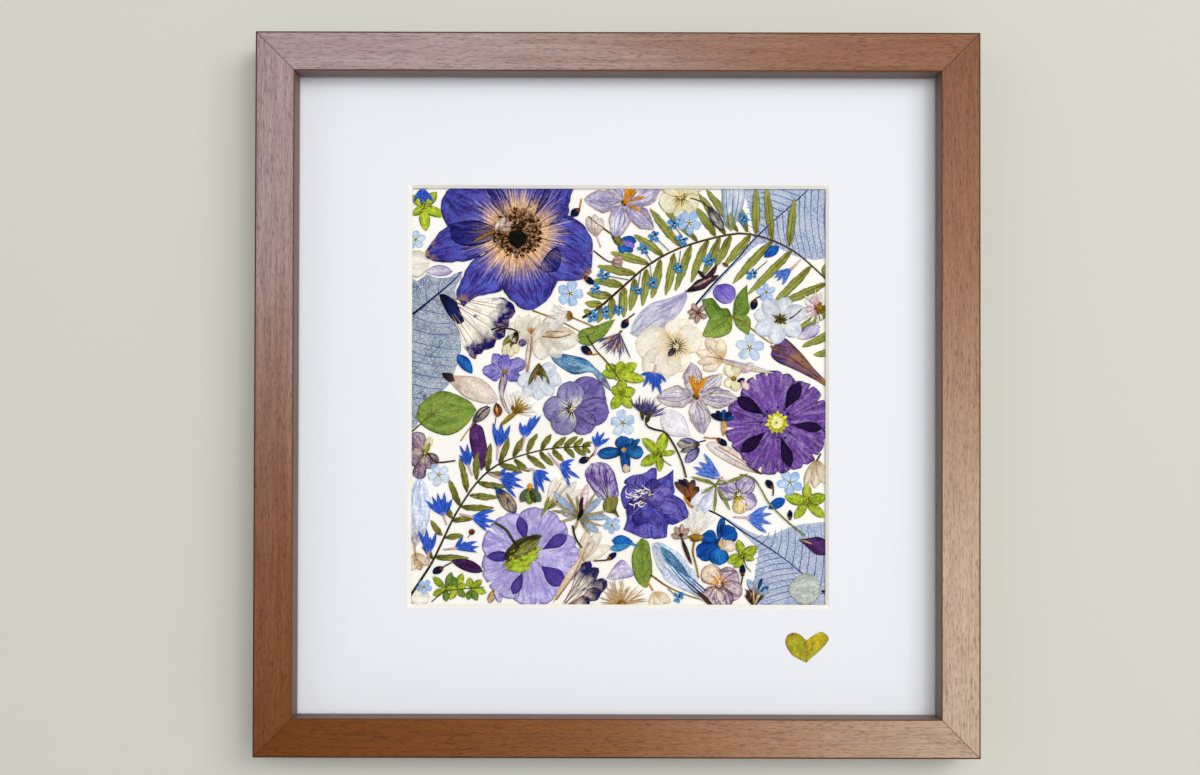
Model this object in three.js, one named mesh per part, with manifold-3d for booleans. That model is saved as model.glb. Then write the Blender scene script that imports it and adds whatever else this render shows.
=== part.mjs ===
// Pressed flower frame: a mitred wood-grained moulding round glass, a window mat
// and a card of pressed flowers, with a backing board, tabs, hanger and bumpers.
// Millimetres, +Z up, front towards -Y. The origin is the point of the hanger
// that rests on the wall nail, in the plane of the moulding's back.
import * as THREE from 'three';
import { mergeVertices } from 'three/addons/utils/BufferGeometryUtils.js';
import Module from 'manifold-3d';

const wasm = await Module();
wasm.setup();

// ---- driving dimensions ----
const OUTER = 333;            // outside of the square moulding
const FACE = 18;              // width of the front face of a rail
const RAIL_DEPTH = 28;        // front face to back
const RABBET = 5;             // width of the step that holds the glass
const SIGHT_DEPTH = 14.1;     // front face to the rabbet shoulder
const ARRIS = 0.5;            // small chamfer on the long edges
const GAP = 0.05;             // left between pieces that touch, and at each mitre
const CLEARANCE = 1;          // glass, mat and boards inside the rabbet, each side
const GLASS = 2;              // glass thickness
const MAT_GAP = 0.45;         // room between glass and mat for the heart leaf
const MAT = 1.5;              // mat board thickness, also the width of its bevel
const BED_GAP = 1.4;          // room between mat and card for the flowers
const CARD = 0.6;
const BACKING = 2.95;
const WINDOW = [194, 195];    // mat window, width and height
const WINDOW_AT = [0.8, -0.4];// centre of the window from the centre of the frame
const LAYER = 0.2;            // pitch of the flat flower layers
const PETAL = 0.15;           // thickness of a pressed petal or leaf
const TAB = [14, 0.8, 9];     // retaining tab: width, thickness, length
const TAB_SLOT = 4;           // how far a tab is driven into the rail
const TAB_PLAY = 0.1;         // clearance round a tab
const TAB_CORNER = 2;         // corners cut off the free end of a tab
const TAB_AT = 78;            // tabs stand this far either side of a rail's middle
const HANGER = [46, 9, 0.9];  // sawtooth hanger: length, height, thickness
const HANGER_BOW = 1.2;       // how far the toothed middle stands off the rail
const HANGER_FLAT = 16.5;     // the ends lie flat beyond this
const HANGER_HOLE = 20;       // nail holes either side of the middle
const TOOTH = 3;              // pitch of the teeth
const TEETH_END = 4.5 * TOOTH;// nine teeth, so that one notch is at the middle
const NAIL = [0.7, 10, 2.1];  // hanger nail: shank radius, length, head radius
const BUMPER = [5, 2.5];      // felt bumper: radius, thickness
const EPS = 1;                // overshoot of cutting tools

const half = OUTER / 2;
const paneHalf = half - FACE + RABBET - CLEARANCE;
const glassFront = -RAIL_DEPTH + SIGHT_DEPTH;
const matFront = glassFront + GLASS + MAT_GAP;
const cardFront = matFront + MAT + BED_GAP;
const backingFront = cardFront + CARD + GAP;
const backingBack = backingFront + BACKING;
const tabY = backingBack + TAB[1] / 2 + TAB_PLAY;
const nailZ = half - FACE / 2 + 2;
const hangPoint = nailZ - HANGER[1] / 2 + TOOTH / 2;

// ---- finishes ----
const finish = (color, roughness, metalness = 0, opacity = 1) => new THREE.MeshStandardMaterial(
  { color, roughness, metalness, opacity, transparent: opacity < 1 });
const WOOD = finish(0x6b4a35, 0.5);
const CLEAR = finish(0xffffff, 0.05, 0, 0.1);
const MAT_WHITE = finish(0xe9ebf0, 0.9);
const CARD_WHITE = finish(0xf4f2ec, 0.9);
const BOARD = finish(0x8a6b4a, 0.85);
const STEEL = finish(0xb9bcc0, 0.35, 1);
const FELT = finish(0x3c3a38, 0.95);
const LEAF_GREEN = finish(0x6f8f2a, 0.7);
const FERN_GREEN = finish(0x6f7a32, 0.7);
const SKELETON = finish(0x9fb0c4, 0.8);
const VIOLET = finish(0x4a3f8f, 0.7);
const PURPLE = finish(0x6a4a86, 0.7);
const LILAC = finish(0xa99cc4, 0.7);
const BLUE = finish(0x1f5aa8, 0.65);
const PALE_BLUE = finish(0x9fb6d0, 0.75);
const CREAM = finish(0xe3d3ac, 0.8);
const BEIGE = finish(0xcfc4bc, 0.8);
const MAROON = finish(0x35203f, 0.6);
const BROWN = finish(0x8a6240, 0.7);

// ---- solids ----
function toSolid(geometry) {
  const bare = new THREE.BufferGeometry();
  bare.setAttribute('position', geometry.getAttribute('position').clone());
  if (geometry.index) bare.setIndex(geometry.index.clone());
  const merged = mergeVertices(bare, 1e-4);
  const vertProperties = new Float32Array(merged.getAttribute('position').array);
  const triVerts = new Uint32Array(merged.index.array);
  return new wasm.Manifold(new wasm.Mesh({ numProp: 3, vertProperties, triVerts }));
}

function toGeometry(solid) {
  const mesh = solid.getMesh();
  const geometry = new THREE.BufferGeometry();
  geometry.setAttribute('position', new THREE.BufferAttribute(mesh.vertProperties, 3));
  geometry.setIndex(new THREE.BufferAttribute(mesh.triVerts, 1));
  geometry.computeVertexNormals();
  return geometry;
}

const unite = (list) => toGeometry(list.map(toSolid).reduce((a, b) => a.add(b)));
const cut = (body, tools) => toGeometry(
  tools.map(toSolid).reduce((a, b) => a.subtract(b), toSolid(body)));

function box(width, depth, height, x = 0, y = 0, z = 0) {
  return new THREE.BoxGeometry(width, depth, height).translate(x, y, z);
}

// cylinder along Y
function disc(radius, length, sides, x, y, z) {
  return new THREE.CylinderGeometry(radius, radius, length, sides).translate(x, y, z);
}

const frame = new THREE.Group();
const centred = new THREE.Group();
centred.position.z = -hangPoint;
frame.add(centred);

function piece(parent, name, geometry, material) {
  const mesh = new THREE.Mesh(geometry, material);
  mesh.name = name;
  parent.add(mesh);
  return mesh;
}

// ---- moulding: one rail's section, swept and mitred, used on four sides ----
function railSection() {
  const back = FACE - RABBET;
  const section = new THREE.Shape();
  section.moveTo(ARRIS, 0);
  section.lineTo(FACE - ARRIS, 0);
  section.lineTo(FACE, ARRIS);
  section.lineTo(FACE, SIGHT_DEPTH);
  section.lineTo(back, SIGHT_DEPTH);
  section.lineTo(back, RAIL_DEPTH);
  section.lineTo(ARRIS, RAIL_DEPTH);
  section.lineTo(0, RAIL_DEPTH - ARRIS);
  section.lineTo(0, ARRIS);
  section.closePath();
  return section;
}

// rail along X at the top of the frame; its ends lean inwards at 45 degrees
function railBlank() {
  const blank = new THREE.ExtrudeGeometry(railSection(), { depth: 1, bevelEnabled: false });
  const spot = blank.getAttribute('position');
  for (let i = 0; i < spot.count; i += 1) {
    const inward = spot.getX(i);
    const depth = spot.getY(i);
    const side = spot.getZ(i) > 0.5 ? 1 : -1;
    spot.setXYZ(i, side * (half - inward - GAP), depth - RAIL_DEPTH, half - inward);
  }
  return blank;
}

function tabSlots() {
  const wall = half - FACE + RABBET;
  return [-TAB_AT, TAB_AT].map((x) => box(
    TAB[0] + 2 * TAB_PLAY, TAB[1] + 2 * TAB_PLAY, TAB_SLOT + EPS,
    x, tabY, wall + (TAB_SLOT - EPS) / 2));
}

const nailHoles = [-HANGER_HOLE, HANGER_HOLE].map(
  (x) => disc(NAIL[0] + 0.1, NAIL[1] + EPS, 8, x, -(NAIL[1] - EPS) / 2, nailZ));

const rails = [
  ['top_rail', 0],
  ['right_stile', 1],
  ['bottom_rail', 2],
  ['left_stile', 3],
];
for (const [name, quarter] of rails) {
  const tools = tabSlots();
  if (name === 'top_rail') tools.push(...nailHoles);
  const rail = piece(centred, name, cut(railBlank(), tools), WOOD);
  rail.rotation.y = quarter * Math.PI / 2;
}

// ---- glass, mat, card and backing ----
const paneSize = 2 * paneHalf;
piece(centred, 'glass', box(paneSize, GLASS, paneSize, 0, glassFront + GLASS / 2, 0), CLEAR);

// four-sided frustum that cuts the 45 degree bevel of the window
function windowCutter() {
  const tool = new THREE.BoxGeometry(1, MAT + 2 * EPS, 1);
  const spot = tool.getAttribute('position');
  for (let i = 0; i < spot.count; i += 1) {
    const grow = spot.getY(i) < 0 ? MAT + EPS : -EPS;
    const x = Math.sign(spot.getX(i)) * (WINDOW[0] / 2 + grow);
    const z = Math.sign(spot.getZ(i)) * (WINDOW[1] / 2 + grow);
    spot.setXYZ(i, x + WINDOW_AT[0], spot.getY(i) + matFront + MAT / 2, z + WINDOW_AT[1]);
  }
  return tool;
}
const matBlank = box(paneSize, MAT, paneSize, 0, matFront + MAT / 2, 0);
piece(centred, 'mat_board', cut(matBlank, [windowCutter()]), MAT_WHITE);
piece(centred, 'flower_card', box(paneSize, CARD, paneSize, 0, cardFront + CARD / 2, 0), CARD_WHITE);
const backing = box(paneSize, BACKING, paneSize, 0, backingFront + BACKING / 2, 0);
piece(centred, 'backing_board', backing, BOARD);

// ---- retaining tabs: steel tongues driven into the rabbet wall ----
// tongue of the top side; its feet are in the rail, its free end over the backing
function tabPlate(x) {
  const wall = half - FACE + RABBET;
  const foot = wall + TAB_SLOT - 2 * TAB_PLAY;
  const free = wall + TAB_SLOT - TAB[2];
  const wide = TAB[0] / 2;
  const tongue = new THREE.Shape();
  tongue.moveTo(-wide, foot);
  tongue.lineTo(-wide, free + TAB_CORNER);
  tongue.lineTo(-wide + TAB_CORNER, free);
  tongue.lineTo(wide - TAB_CORNER, free);
  tongue.lineTo(wide, free + TAB_CORNER);
  tongue.lineTo(wide, foot);
  tongue.closePath();
  return new THREE.ExtrudeGeometry(tongue, { depth: TAB[1], bevelEnabled: false })
    .rotateX(Math.PI / 2).translate(x, tabY + TAB[1] / 2, 0);
}
['top', 'right', 'bottom', 'left'].forEach((side, quarter) => {
  [-TAB_AT, TAB_AT].forEach((x, i) => {
    const name = `retaining_tab_${side}_${i + 1}`;
    piece(centred, name, tabPlate(x), STEEL).rotation.y = quarter * Math.PI / 2;
  });
});

// ---- sawtooth hanger, its two nails, and the wall bumpers ----
// side profile of the strip, bowed away from the rail where the teeth are
function hangerStrip() {
  const [length, height, thickness] = HANGER;
  const lower = [[-length / 2, 0], [-HANGER_FLAT, 0], [-TEETH_END, HANGER_BOW]];
  const run = [...lower, ...lower.map(([x, y]) => [-x, y]).reverse()];
  const upper = run.map(([x, y]) => [x, y + thickness]).reverse();
  const strip = new THREE.Shape([...run, ...upper].map(([x, y]) => new THREE.Vector2(x, y)));
  return new THREE.ExtrudeGeometry(strip, { depth: height, bevelEnabled: false })
    .translate(0, GAP, nailZ - height / 2);
}

// zigzag tool that leaves the teeth along the lower edge
function toothCutter() {
  const low = -HANGER[1] / 2;
  const zigzag = new THREE.Shape();
  zigzag.moveTo(-TEETH_END, low - EPS);
  zigzag.lineTo(-TEETH_END, low);
  for (let x = -TEETH_END; x < TEETH_END - EPS; x += TOOTH) {
    zigzag.lineTo(x + TOOTH / 2, low + TOOTH / 2);
    zigzag.lineTo(x + TOOTH, low);
  }
  zigzag.lineTo(TEETH_END, low - EPS);
  zigzag.closePath();
  return new THREE.ExtrudeGeometry(zigzag, { depth: 2 * HANGER_BOW + EPS, bevelEnabled: false })
    .rotateX(Math.PI / 2).translate(0, 2 * HANGER_BOW + EPS / 2, nailZ);
}
const hangerHoles = [-HANGER_HOLE, HANGER_HOLE].map(
  (x) => disc(NAIL[0] + 0.2, 3 * HANGER[2], 8, x, HANGER[2] / 2, nailZ));
piece(centred, 'sawtooth_hanger', cut(hangerStrip(), [toothCutter(), ...hangerHoles]), STEEL);

// nail turned about its axis: shank in the rail, low dome head on the hanger
function hangerNail() {
  const [shank, length, head] = NAIL;
  const seat = HANGER[2] + 2 * GAP;
  const outline = [
    [0, -length + 1], [shank * 0.5, -length + 1.6], [shank, -length + 3], [shank, seat],
    [head, seat], [head, seat + 0.4], [head * 0.6, seat + 0.9], [0, seat + 1.05],
  ];
  return new THREE.LatheGeometry(outline.map(([r, y]) => new THREE.Vector2(r, y)), 10);
}
for (const [side, x] of [['left', -HANGER_HOLE], ['right', HANGER_HOLE]]) {
  piece(centred, `hanger_nail_${side}`, hangerNail(), STEEL).position.set(x, 0, nailZ);
  const bumper = disc(BUMPER[0], BUMPER[1], 16, 0, BUMPER[1] / 2 + GAP, 0);
  const corner = half - (FACE - RABBET) / 2;
  const pad = piece(centred, `bumper_${side}`, bumper, FELT);
  pad.position.set(Math.sign(x) * corner, 0, -corner);
}

// ---- pressed specimens ----
// Inside this group X runs right and Y up from the window's lower left corner,
// and Z counts from the card towards the glass.
const bed = new THREE.Group();
bed.position.set(WINDOW_AT[0] - WINDOW[0] / 2, cardFront, WINDOW_AT[1] - WINDOW[1] / 2);
bed.rotation.x = Math.PI / 2;
centred.add(bed);

function flat(shape, thickness = PETAL) {
  return new THREE.ExtrudeGeometry(shape, { depth: thickness, bevelEnabled: false });
}

const outline = (points) => flat(new THREE.Shape(points.map(([u, v]) => new THREE.Vector2(u, v))));

// pointed blade from a base point to a tip, widest at the share `belly` of its length
function blade(base, tip, width, belly = 0.45, steps = 3) {
  const from = new THREE.Vector2(...base);
  const along = new THREE.Vector2(...tip).sub(from);
  const across = new THREE.Vector2(-along.y, along.x).normalize();
  const sides = [[], []];
  for (let i = 1; i < steps; i += 1) {
    const t = i / steps;
    const swell = Math.sin(Math.PI * t ** (Math.log(0.5) / Math.log(belly))) ** 0.7;
    const spot = from.clone().addScaledVector(along, t);
    sides[0].push(spot.clone().addScaledVector(across, swell * width / 2));
    sides[1].push(spot.clone().addScaledVector(across, -swell * width / 2));
  }
  return flat(new THREE.Shape([from, ...sides[1], from.clone().add(along), ...sides[0].reverse()]));
}

// round lobe, as an overlapping petal
function lobe(u, v, radius, sides = 14) {
  const shape = new THREE.Shape();
  for (let i = 0; i < sides; i += 1) {
    const turn = 2 * Math.PI * i / sides;
    const spot = [u + radius * Math.cos(turn), v + radius * Math.sin(turn)];
    if (i === 0) shape.moveTo(...spot);
    else shape.lineTo(...spot);
  }
  return flat(shape);
}

// strip of one width along a list of points, as a stem
function stem(points, width) {
  const path = points.map((p) => new THREE.Vector2(...p));
  const left = [];
  const right = [];
  path.forEach((spot, i) => {
    const ahead = path[Math.min(i + 1, path.length - 1)];
    const behind = path[Math.max(i - 1, 0)];
    const across = ahead.clone().sub(behind).normalize().rotateAround(new THREE.Vector2(), Math.PI / 2);
    left.push(spot.clone().addScaledVector(across, width / 2));
    right.push(spot.clone().addScaledVector(across, -width / 2));
  });
  return flat(new THREE.Shape([...right, ...left.reverse()]));
}

// flower of equal petals in one outline: clefts between petals, a notch in each
function rosette(u, v, petals, radius, cleft, notch, turn) {
  const shape = [];
  const perPetal = [-1, -0.8, -0.45, -0.12, 0, 0.12, 0.45, 0.8];
  for (let i = 0; i < petals; i += 1) {
    for (const t of perPetal) {
      const dip = t === 0 ? notch : 0;
      const r = radius * (1 - cleft * Math.abs(t) ** 5 - dip);
      const a = turn + (i + t / 2) * 2 * Math.PI / petals;
      shape.push([u + r * Math.cos(a), v + r * Math.sin(a)]);
    }
  }
  return outline(shape);
}

function specimen(name, layer, material, parts) {
  const body = parts.length > 1 ? unite(parts) : parts[0];
  piece(bed, name, body, material).position.z = GAP + layer * LAYER;
}

// Small florets, buds, petals and sprigs lie between the large specimens. Their
// common bed is one thin sheet that reaches the tips of them all.
const bedSheet = outline([[-4, -4], [198, -4], [198, 199], [-4, 199]]);
specimen('small_flower_bed', 0, CREAM, [bedSheet]);

specimen('skeleton_leaf_left', 1, SKELETON, [outline([
  [-4, 80], [0, 82], [3.5, 85], [2, 88], [4, 92], [8, 97], [15, 100.5], [18.3, 104.5],
  [20, 109], [21.8, 114], [23, 120], [22.5, 127], [23, 131], [21.5, 137], [19.8, 143],
  [20.5, 149.5], [23.3, 153.5], [23.5, 156.2], [21.3, 156.3], [17.5, 153.3], [14, 153],
  [8.5, 153.8], [7, 155.5], [4.5, 153], [2, 151.5], [-4, 152]])]);

specimen('skeleton_leaf_top', 1, SKELETON, [outline([
  [130.5, 137.5], [131.2, 137.2], [136, 142.5], [142, 149], [150, 157.5], [156, 163.5],
  [160, 167], [165, 170], [171, 168.5], [175, 166], [180, 163.5], [188, 161.7],
  [198, 164.5], [198, 198], [156.5, 198], [156.8, 190], [158.5, 184], [160, 176],
  [157, 168.5], [150, 160], [141, 150], [135, 144]])]);

specimen('skeleton_leaf_low', 1, SKELETON, [outline([
  [135, 46.2], [140, 43.8], [147, 41], [153, 37.5], [158, 34.5], [162, 32.8], [168, 32.2],
  [173, 34.5], [181, 37.3], [188, 38.2], [198, 37], [198, -3], [163, -3], [161.3, 3],
  [161, 15], [162.7, 26], [160, 28.5], [155, 33.5], [149, 38.5], [143, 42.3], [136, 45.5]])]);

specimen('maroon_petal', 1, MAROON, [outline([
  [32.5, 62.3], [34.5, 65], [34.7, 69], [35.3, 74], [34.3, 79], [33, 83], [31, 84],
  [28.5, 85], [27.2, 82], [27, 78], [27.7, 73], [28.5, 69], [30, 66], [31.5, 65]])]);

// upper fern: arching midrib, pinnae as base and tip pairs above and below it
const upperRib = [[80, 134.5], [90, 141], [100, 150], [111, 159.5], [123, 166.3], [137, 171],
  [153, 174.3], [165, 172.5], [178, 166.8], [190, 157], [199, 147], [203, 130], [204, 117]];
const upperPinnae = [
  [84.5, 137, 80.5, 138], [89, 140.5, 81, 141.3], [94, 144.5, 82, 146], [99, 149.5, 85, 152],
  [105, 154.8, 87, 158.8], [111, 159.8, 93, 165.2], [118, 163.9, 104, 173.7],
  [126, 167.5, 111.5, 186], [134, 170, 115.5, 189], [142.5, 172, 130.5, 191],
  [153, 174.5, 138, 196], [161.3, 173.5, 161.5, 198], [169, 171, 166, 198],
  [177, 167.5, 179.5, 191], [89, 140.2, 87, 132], [94, 144.4, 93, 133.5],
  [99.5, 149.5, 99.5, 134.5], [104.5, 153.7, 102.3, 137.7], [110, 158.5, 108, 140],
  [116.5, 162.6, 112.5, 143.5], [123, 166, 119, 145], [131, 169, 123.5, 147],
  [139, 171.3, 131, 151], [149.5, 173.3, 142, 158], [159, 173.5, 146.5, 159],
  [169.5, 171, 150.5, 150.5], [178.5, 166.3, 157.5, 145.5], [188, 158.5, 168.5, 140],
  [196.5, 150, 170, 140], [201.5, 138, 176.5, 125.5], [203, 129, 183, 121],
  [203.7, 118.5, 188.5, 117.3]];
specimen('fern_upper', 2, FERN_GREEN, [
  stem(upperRib, 0.9),
  ...upperPinnae.map(([a, b, c, d]) => blade([a, b], [c, d], 3.8, 0.4)),
]);

const lowerRib = [[-4, -1], [5, 12], [15, 30.5], [22.7, 45.5], [31, 57.5], [40.5, 65.5],
  [54, 70.5], [66, 73], [84, 74.2]];
const lowerPinnae = [
  [14.5, 30.5, 9, 39.3], [22.5, 45.8, 17.3, 58.5], [26.5, 51.5, 22.3, 68.3],
  [30.8, 57.5, 31, 71.5], [35.5, 61.5, 37, 75.5], [41, 65.6, 45.5, 78.5],
  [47.5, 68.3, 52.5, 78.5], [54, 70.4, 59, 80], [60.5, 71.9, 65.5, 79.8],
  [66, 73, 72.5, 78.5], [71.5, 73.3, 78, 78.8], [10.5, 22, 27, 21.5], [15.5, 31.2, 24.5, 32],
  [19, 38.5, 30, 40.5], [23, 45.8, 38.7, 45], [27, 51.8, 41, 50], [31, 57.4, 44.5, 55],
  [41, 65.7, 52, 61.5], [48, 68.4, 55.5, 62], [54, 70.5, 63, 63.5], [60, 71.8, 66.5, 65],
  [66, 73, 71.5, 67], [71.5, 73.4, 76.5, 68.5]];
specimen('fern_lower', 2, FERN_GREEN, [
  stem(lowerRib, 0.9),
  ...lowerPinnae.map(([a, b, c, d]) => blade([a, b], [c, d], 2.7, 0.4)),
]);

// anemone: petal outline with a low dark boss and stamen ring
const anemonePetals = outline([
  [84.5, 171], [83.3, 163.5], [84, 158], [82, 153.5], [77, 152], [68, 152.2], [64, 143.5],
  [60, 140], [56, 138], [51, 139.8], [46, 143.5], [42.3, 148], [36, 145.5], [30, 144],
  [24, 139.5], [20.5, 146.5], [24, 152], [27.3, 160.8], [18, 160.4], [7.5, 161.5],
  [6, 165.5], [10, 171], [16.5, 177.3], [13.3, 187.5], [15, 193], [24, 200], [34, 199],
  [42, 204], [56, 204], [65, 200], [73, 203], [75.5, 196], [73.3, 188], [72.8, 181.8],
  [80, 178]]);
const bossProfile = [[0, 0], [11.5, 0], [11, 0.25], [9.5, 0.45], [5.5, 0.4], [4.6, 0.6], [0, 0.7]];
const boss = new THREE.LatheGeometry(bossProfile.map(([r, z]) => new THREE.Vector2(r, z)), 18)
  .rotateX(Math.PI / 2).translate(49.5, 173, 0);
specimen('anemone', 3, VIOLET, [anemonePetals, boss]);

specimen('primula_purple', 3, PURPLE, [rosette(171.3, 85.3, 5, 24, 0.12, 0.14, 0.45)]);
specimen('primula_lilac', 2, LILAC, [rosette(55.3, 22.3, 5, 22.6, 0.12, 0.12, -0.1)]);

specimen('viola_mauve', 3, PURPLE, [
  lobe(67.6, 91.3, 6), lobe(71.3, 85.4, 6.2), lobe(74.6, 98.2, 6.4), lobe(82.3, 98.7, 8.4),
  lobe(86, 90.5, 6.6), lobe(80.4, 85.2, 6)]);

specimen('larkspur_violet', 2, VIOLET, [outline([
  [98, 52], [98.5, 48], [100.5, 44.5], [101, 40], [99.3, 35], [103, 33.5], [107, 31],
  [111, 32], [113.2, 30.5], [115.5, 33], [119.3, 31], [120, 38], [121.5, 37.4], [126, 39],
  [129.8, 41], [129, 45.5], [126.5, 49.5], [123, 53], [122.8, 57], [122.8, 63.3],
  [119.5, 60.5], [115.7, 59.5], [115, 63.5], [112.5, 64], [109, 61.5], [103, 60.3],
  [99.5, 57]])]);

specimen('star_flower_lilac', 4, BEIGE, [
  blade([100.5, 188], [80, 190], 12, 0.5, 5), blade([99.5, 190], [93, 171.5], 11, 0.5, 5),
  blade([98.5, 190], [114, 176], 10, 0.5, 5), blade([98, 188], [117.5, 196], 12, 0.5, 5),
  blade([100, 187], [92, 203], 10, 0.5, 5)]);

specimen('star_flower_beige', 5, BEIGE, [
  blade([134.5, 97.5], [114.5, 95], 11, 0.5, 5), blade([134, 96], [130, 113.5], 9.5, 0.45, 5),
  blade([132, 96.5], [146.5, 107], 8.5, 0.55, 5), blade([132, 97.5], [153.5, 96], 10.5, 0.5, 5),
  blade([132.8, 99], [136.8, 79.5], 11, 0.45, 5)]);

specimen('cream_pansy', 4, CREAM, [
  lobe(125.5, 125.8, 8.3), lobe(130, 124.5, 6.5), lobe(113.5, 122, 8.5),
  lobe(116, 112.8, 8), lobe(125.3, 114.6, 5.3), lobe(120, 118, 7, 12)]);

specimen('yellow_pansy', 3, CREAM, [
  lobe(121.5, 189, 5.5), lobe(129, 195, 6), lobe(130, 188.5, 4.5),
  lobe(127.3, 184, 4.8), lobe(122, 196, 5)]);

specimen('fan_flower_left', 2, CREAM, [outline([
  [12.7, 145], [13.5, 142], [17.5, 135], [22, 131], [23, 128], [24, 123], [25, 119.5],
  [29.2, 114.5], [30.4, 115.5], [26.7, 120.5], [28.5, 119.5], [32, 117], [35.5, 116.6],
  [38, 119], [38.5, 122.5], [43.5, 123.8], [44.5, 126.8], [46.2, 129.5], [44.5, 131.7],
  [48.4, 134], [48.8, 138], [46, 140], [38, 139.3], [24.8, 139], [21.3, 141.7],
  [18, 143.5], [15.2, 145.2]])]);

specimen('fan_flower_low', 3, BEIGE, [outline([
  [66.5, -3], [74, -3], [80, 0.5], [84, 2.5], [87, 4.5], [92.3, 10.3], [91, 12.5],
  [88.8, 13.5], [88.5, 15.5], [87, 17], [84.2, 17], [84.3, 20], [83.3, 20.7], [77, 11],
  [72, 4]])]);

specimen('trumpet_flower', 3, LILAC, [outline([
  [103.5, 126], [106, 125.5], [111, 128], [117, 131], [123, 134], [127, 139], [129.5, 144.5],
  [130.5, 147.5], [133, 149.8], [138, 150.8], [143.3, 153.5], [143.5, 160.8], [142.2, 161],
  [142, 158.5], [140, 158], [136, 155.8], [133.5, 156.9], [133.2, 156], [136, 154.5],
  [133, 153], [128.2, 149.5], [127.5, 146.5], [120, 143.5], [113, 141.5], [108, 138],
  [104, 132.5], [102.3, 127.5]])]);

specimen('bell_flower', 3, PALE_BLUE, [outline([
  [147, 178], [149.5, 175.8], [151.3, 177.3], [152.5, 181], [155, 186], [156, 190],
  [156.3, 199], [145.7, 199], [145.2, 190], [145.8, 183]])]);

specimen('twisted_flower', 2, BROWN, [outline([
  [166.3, 119.5], [168.5, 116.5], [172, 113.5], [178, 111], [184, 108.2], [190, 105],
  [197, 100.5], [197, 102.5], [189, 110.5], [185, 115.5], [180, 121], [175.5, 125],
  [172.5, 126.3], [172, 123.3], [169.8, 121.5], [169.5, 117.8], [168, 119.6]])]);

specimen('delphinium_bright', 2, BLUE, [
  lobe(148.5, 33, 4.4, 12), lobe(140, 31, 3.6, 12), lobe(137.8, 24.8, 4.4, 12),
  lobe(144.2, 22.8, 4.5, 12), lobe(143.8, 28.5, 3.4, 10), blade([144, 29], [146.2, 41.3], 4),
  blade([144, 28.5], [152.8, 26.8], 5.5)]);

specimen('delphinium_dark', 3, BLUE, [
  lobe(99.5, 75.3, 3.9), lobe(102.2, 74.8, 3, 12), blade([100.5, 71.5], [86.8, 70.3], 5.5),
  blade([99, 71.5], [108.7, 71.3], 6.5), blade([101, 72], [107, 77.5], 3),
  outline([[97.3, 73], [98.6, 64], [98.7, 62], [103, 62.5], [102.5, 70], [101.5, 73]])]);

specimen('viola_rose', 2, LILAC, [
  lobe(140.5, 14, 4.8), lobe(148.5, 12.3, 5.3), lobe(150.5, 6.5, 4.8),
  lobe(142, 4, 5.2), lobe(146.5, 3, 4.5), lobe(143.5, 9, 4.4, 10)]);

specimen('viola_pale', 2, BEIGE, [
  lobe(148.5, 53.3, 4.9), lobe(156.5, 56, 4.6), lobe(157.8, 48.5, 4.2),
  lobe(155, 45.5, 2.7, 10), lobe(153.5, 52.3, 3.8, 10)]);

specimen('viola_brown', 2, LILAC, [
  lobe(2, 76, 4.4), lobe(2.5, 68.5, 5), lobe(8.7, 66.8, 3.7),
  lobe(3.6, 61.8, 3.3, 12), lobe(8, 76, 2.6, 10), lobe(6, 72.5, 3, 10)]);

specimen('lily_petal_teal', 2, PALE_BLUE, [outline([
  [65, 117.3], [65.8, 114.8], [68.5, 112], [73, 109], [77, 107.7], [84, 109], [86.5, 106.5],
  [89, 103.5], [93.2, 99.8], [92.5, 103], [90, 107], [86, 111], [82, 114.8], [76, 116.5],
  [70, 117.6], [66.5, 118]])]);

specimen('lily_flower_blue', 3, PALE_BLUE, [outline([
  [112.8, 28.3], [113.7, 23], [115.3, 18], [118, 14], [121.5, 10.3], [126, 7.5], [132, 5],
  [137, 1.5], [140.5, -1.5], [143, -1.5], [140.5, 2], [137, 6], [134, 9], [132.7, 13.5],
  [130.5, 17.5], [127, 22], [123, 25.5], [118.5, 28.3], [115, 29.2]])]);

specimen('round_leaf', 2, LEAF_GREEN, [
  outline([
    [1.5, 89], [2.5, 86.3], [4.5, 83.8], [8, 81.5], [12, 79.8], [16, 79], [20, 80],
    [23.5, 82], [27, 85.5], [29.3, 88.8], [30.2, 92], [28, 94.3], [24, 96.8], [20, 98.5],
    [16, 99.8], [12, 99.5], [9, 98], [6, 95.5], [3, 92]]),
  stem([[-3, 78.3], [4, 84.2], [9.5, 88.8]], 0.8)]);

specimen('pointed_leaf', 2, LEAF_GREEN, [
  outline([
    [77, 124.5], [77.5, 123.2], [80, 121.8], [83.5, 121.3], [86, 122.8], [90, 125.5],
    [93, 129.5], [95.3, 133.5], [91, 132.7], [86, 130.7], [80, 129], [78, 127]]),
  stem([[56.5, 137.8], [66, 134.3], [73, 130.5], [79.5, 127.8]], 0.7)]);

specimen('leaf_whorl', 3, LEAF_GREEN, [
  outline([
    [136, 126], [140, 125], [144, 125.2], [147.5, 126.5], [150, 129], [152.3, 130.7],
    [155, 128.2], [158, 126.4], [159, 131.3], [158.3, 136], [157.7, 143], [157.3, 150.2],
    [154, 147], [151.5, 143], [150.6, 137.3], [148, 138.9], [144.8, 139.3], [141.3, 143.7],
    [136.2, 142.7], [138, 139], [140, 134.8], [138, 130.5]]),
  stem([[155, 133], [160, 129], [165, 125], [171, 121.5]], 0.7)]);

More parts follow.
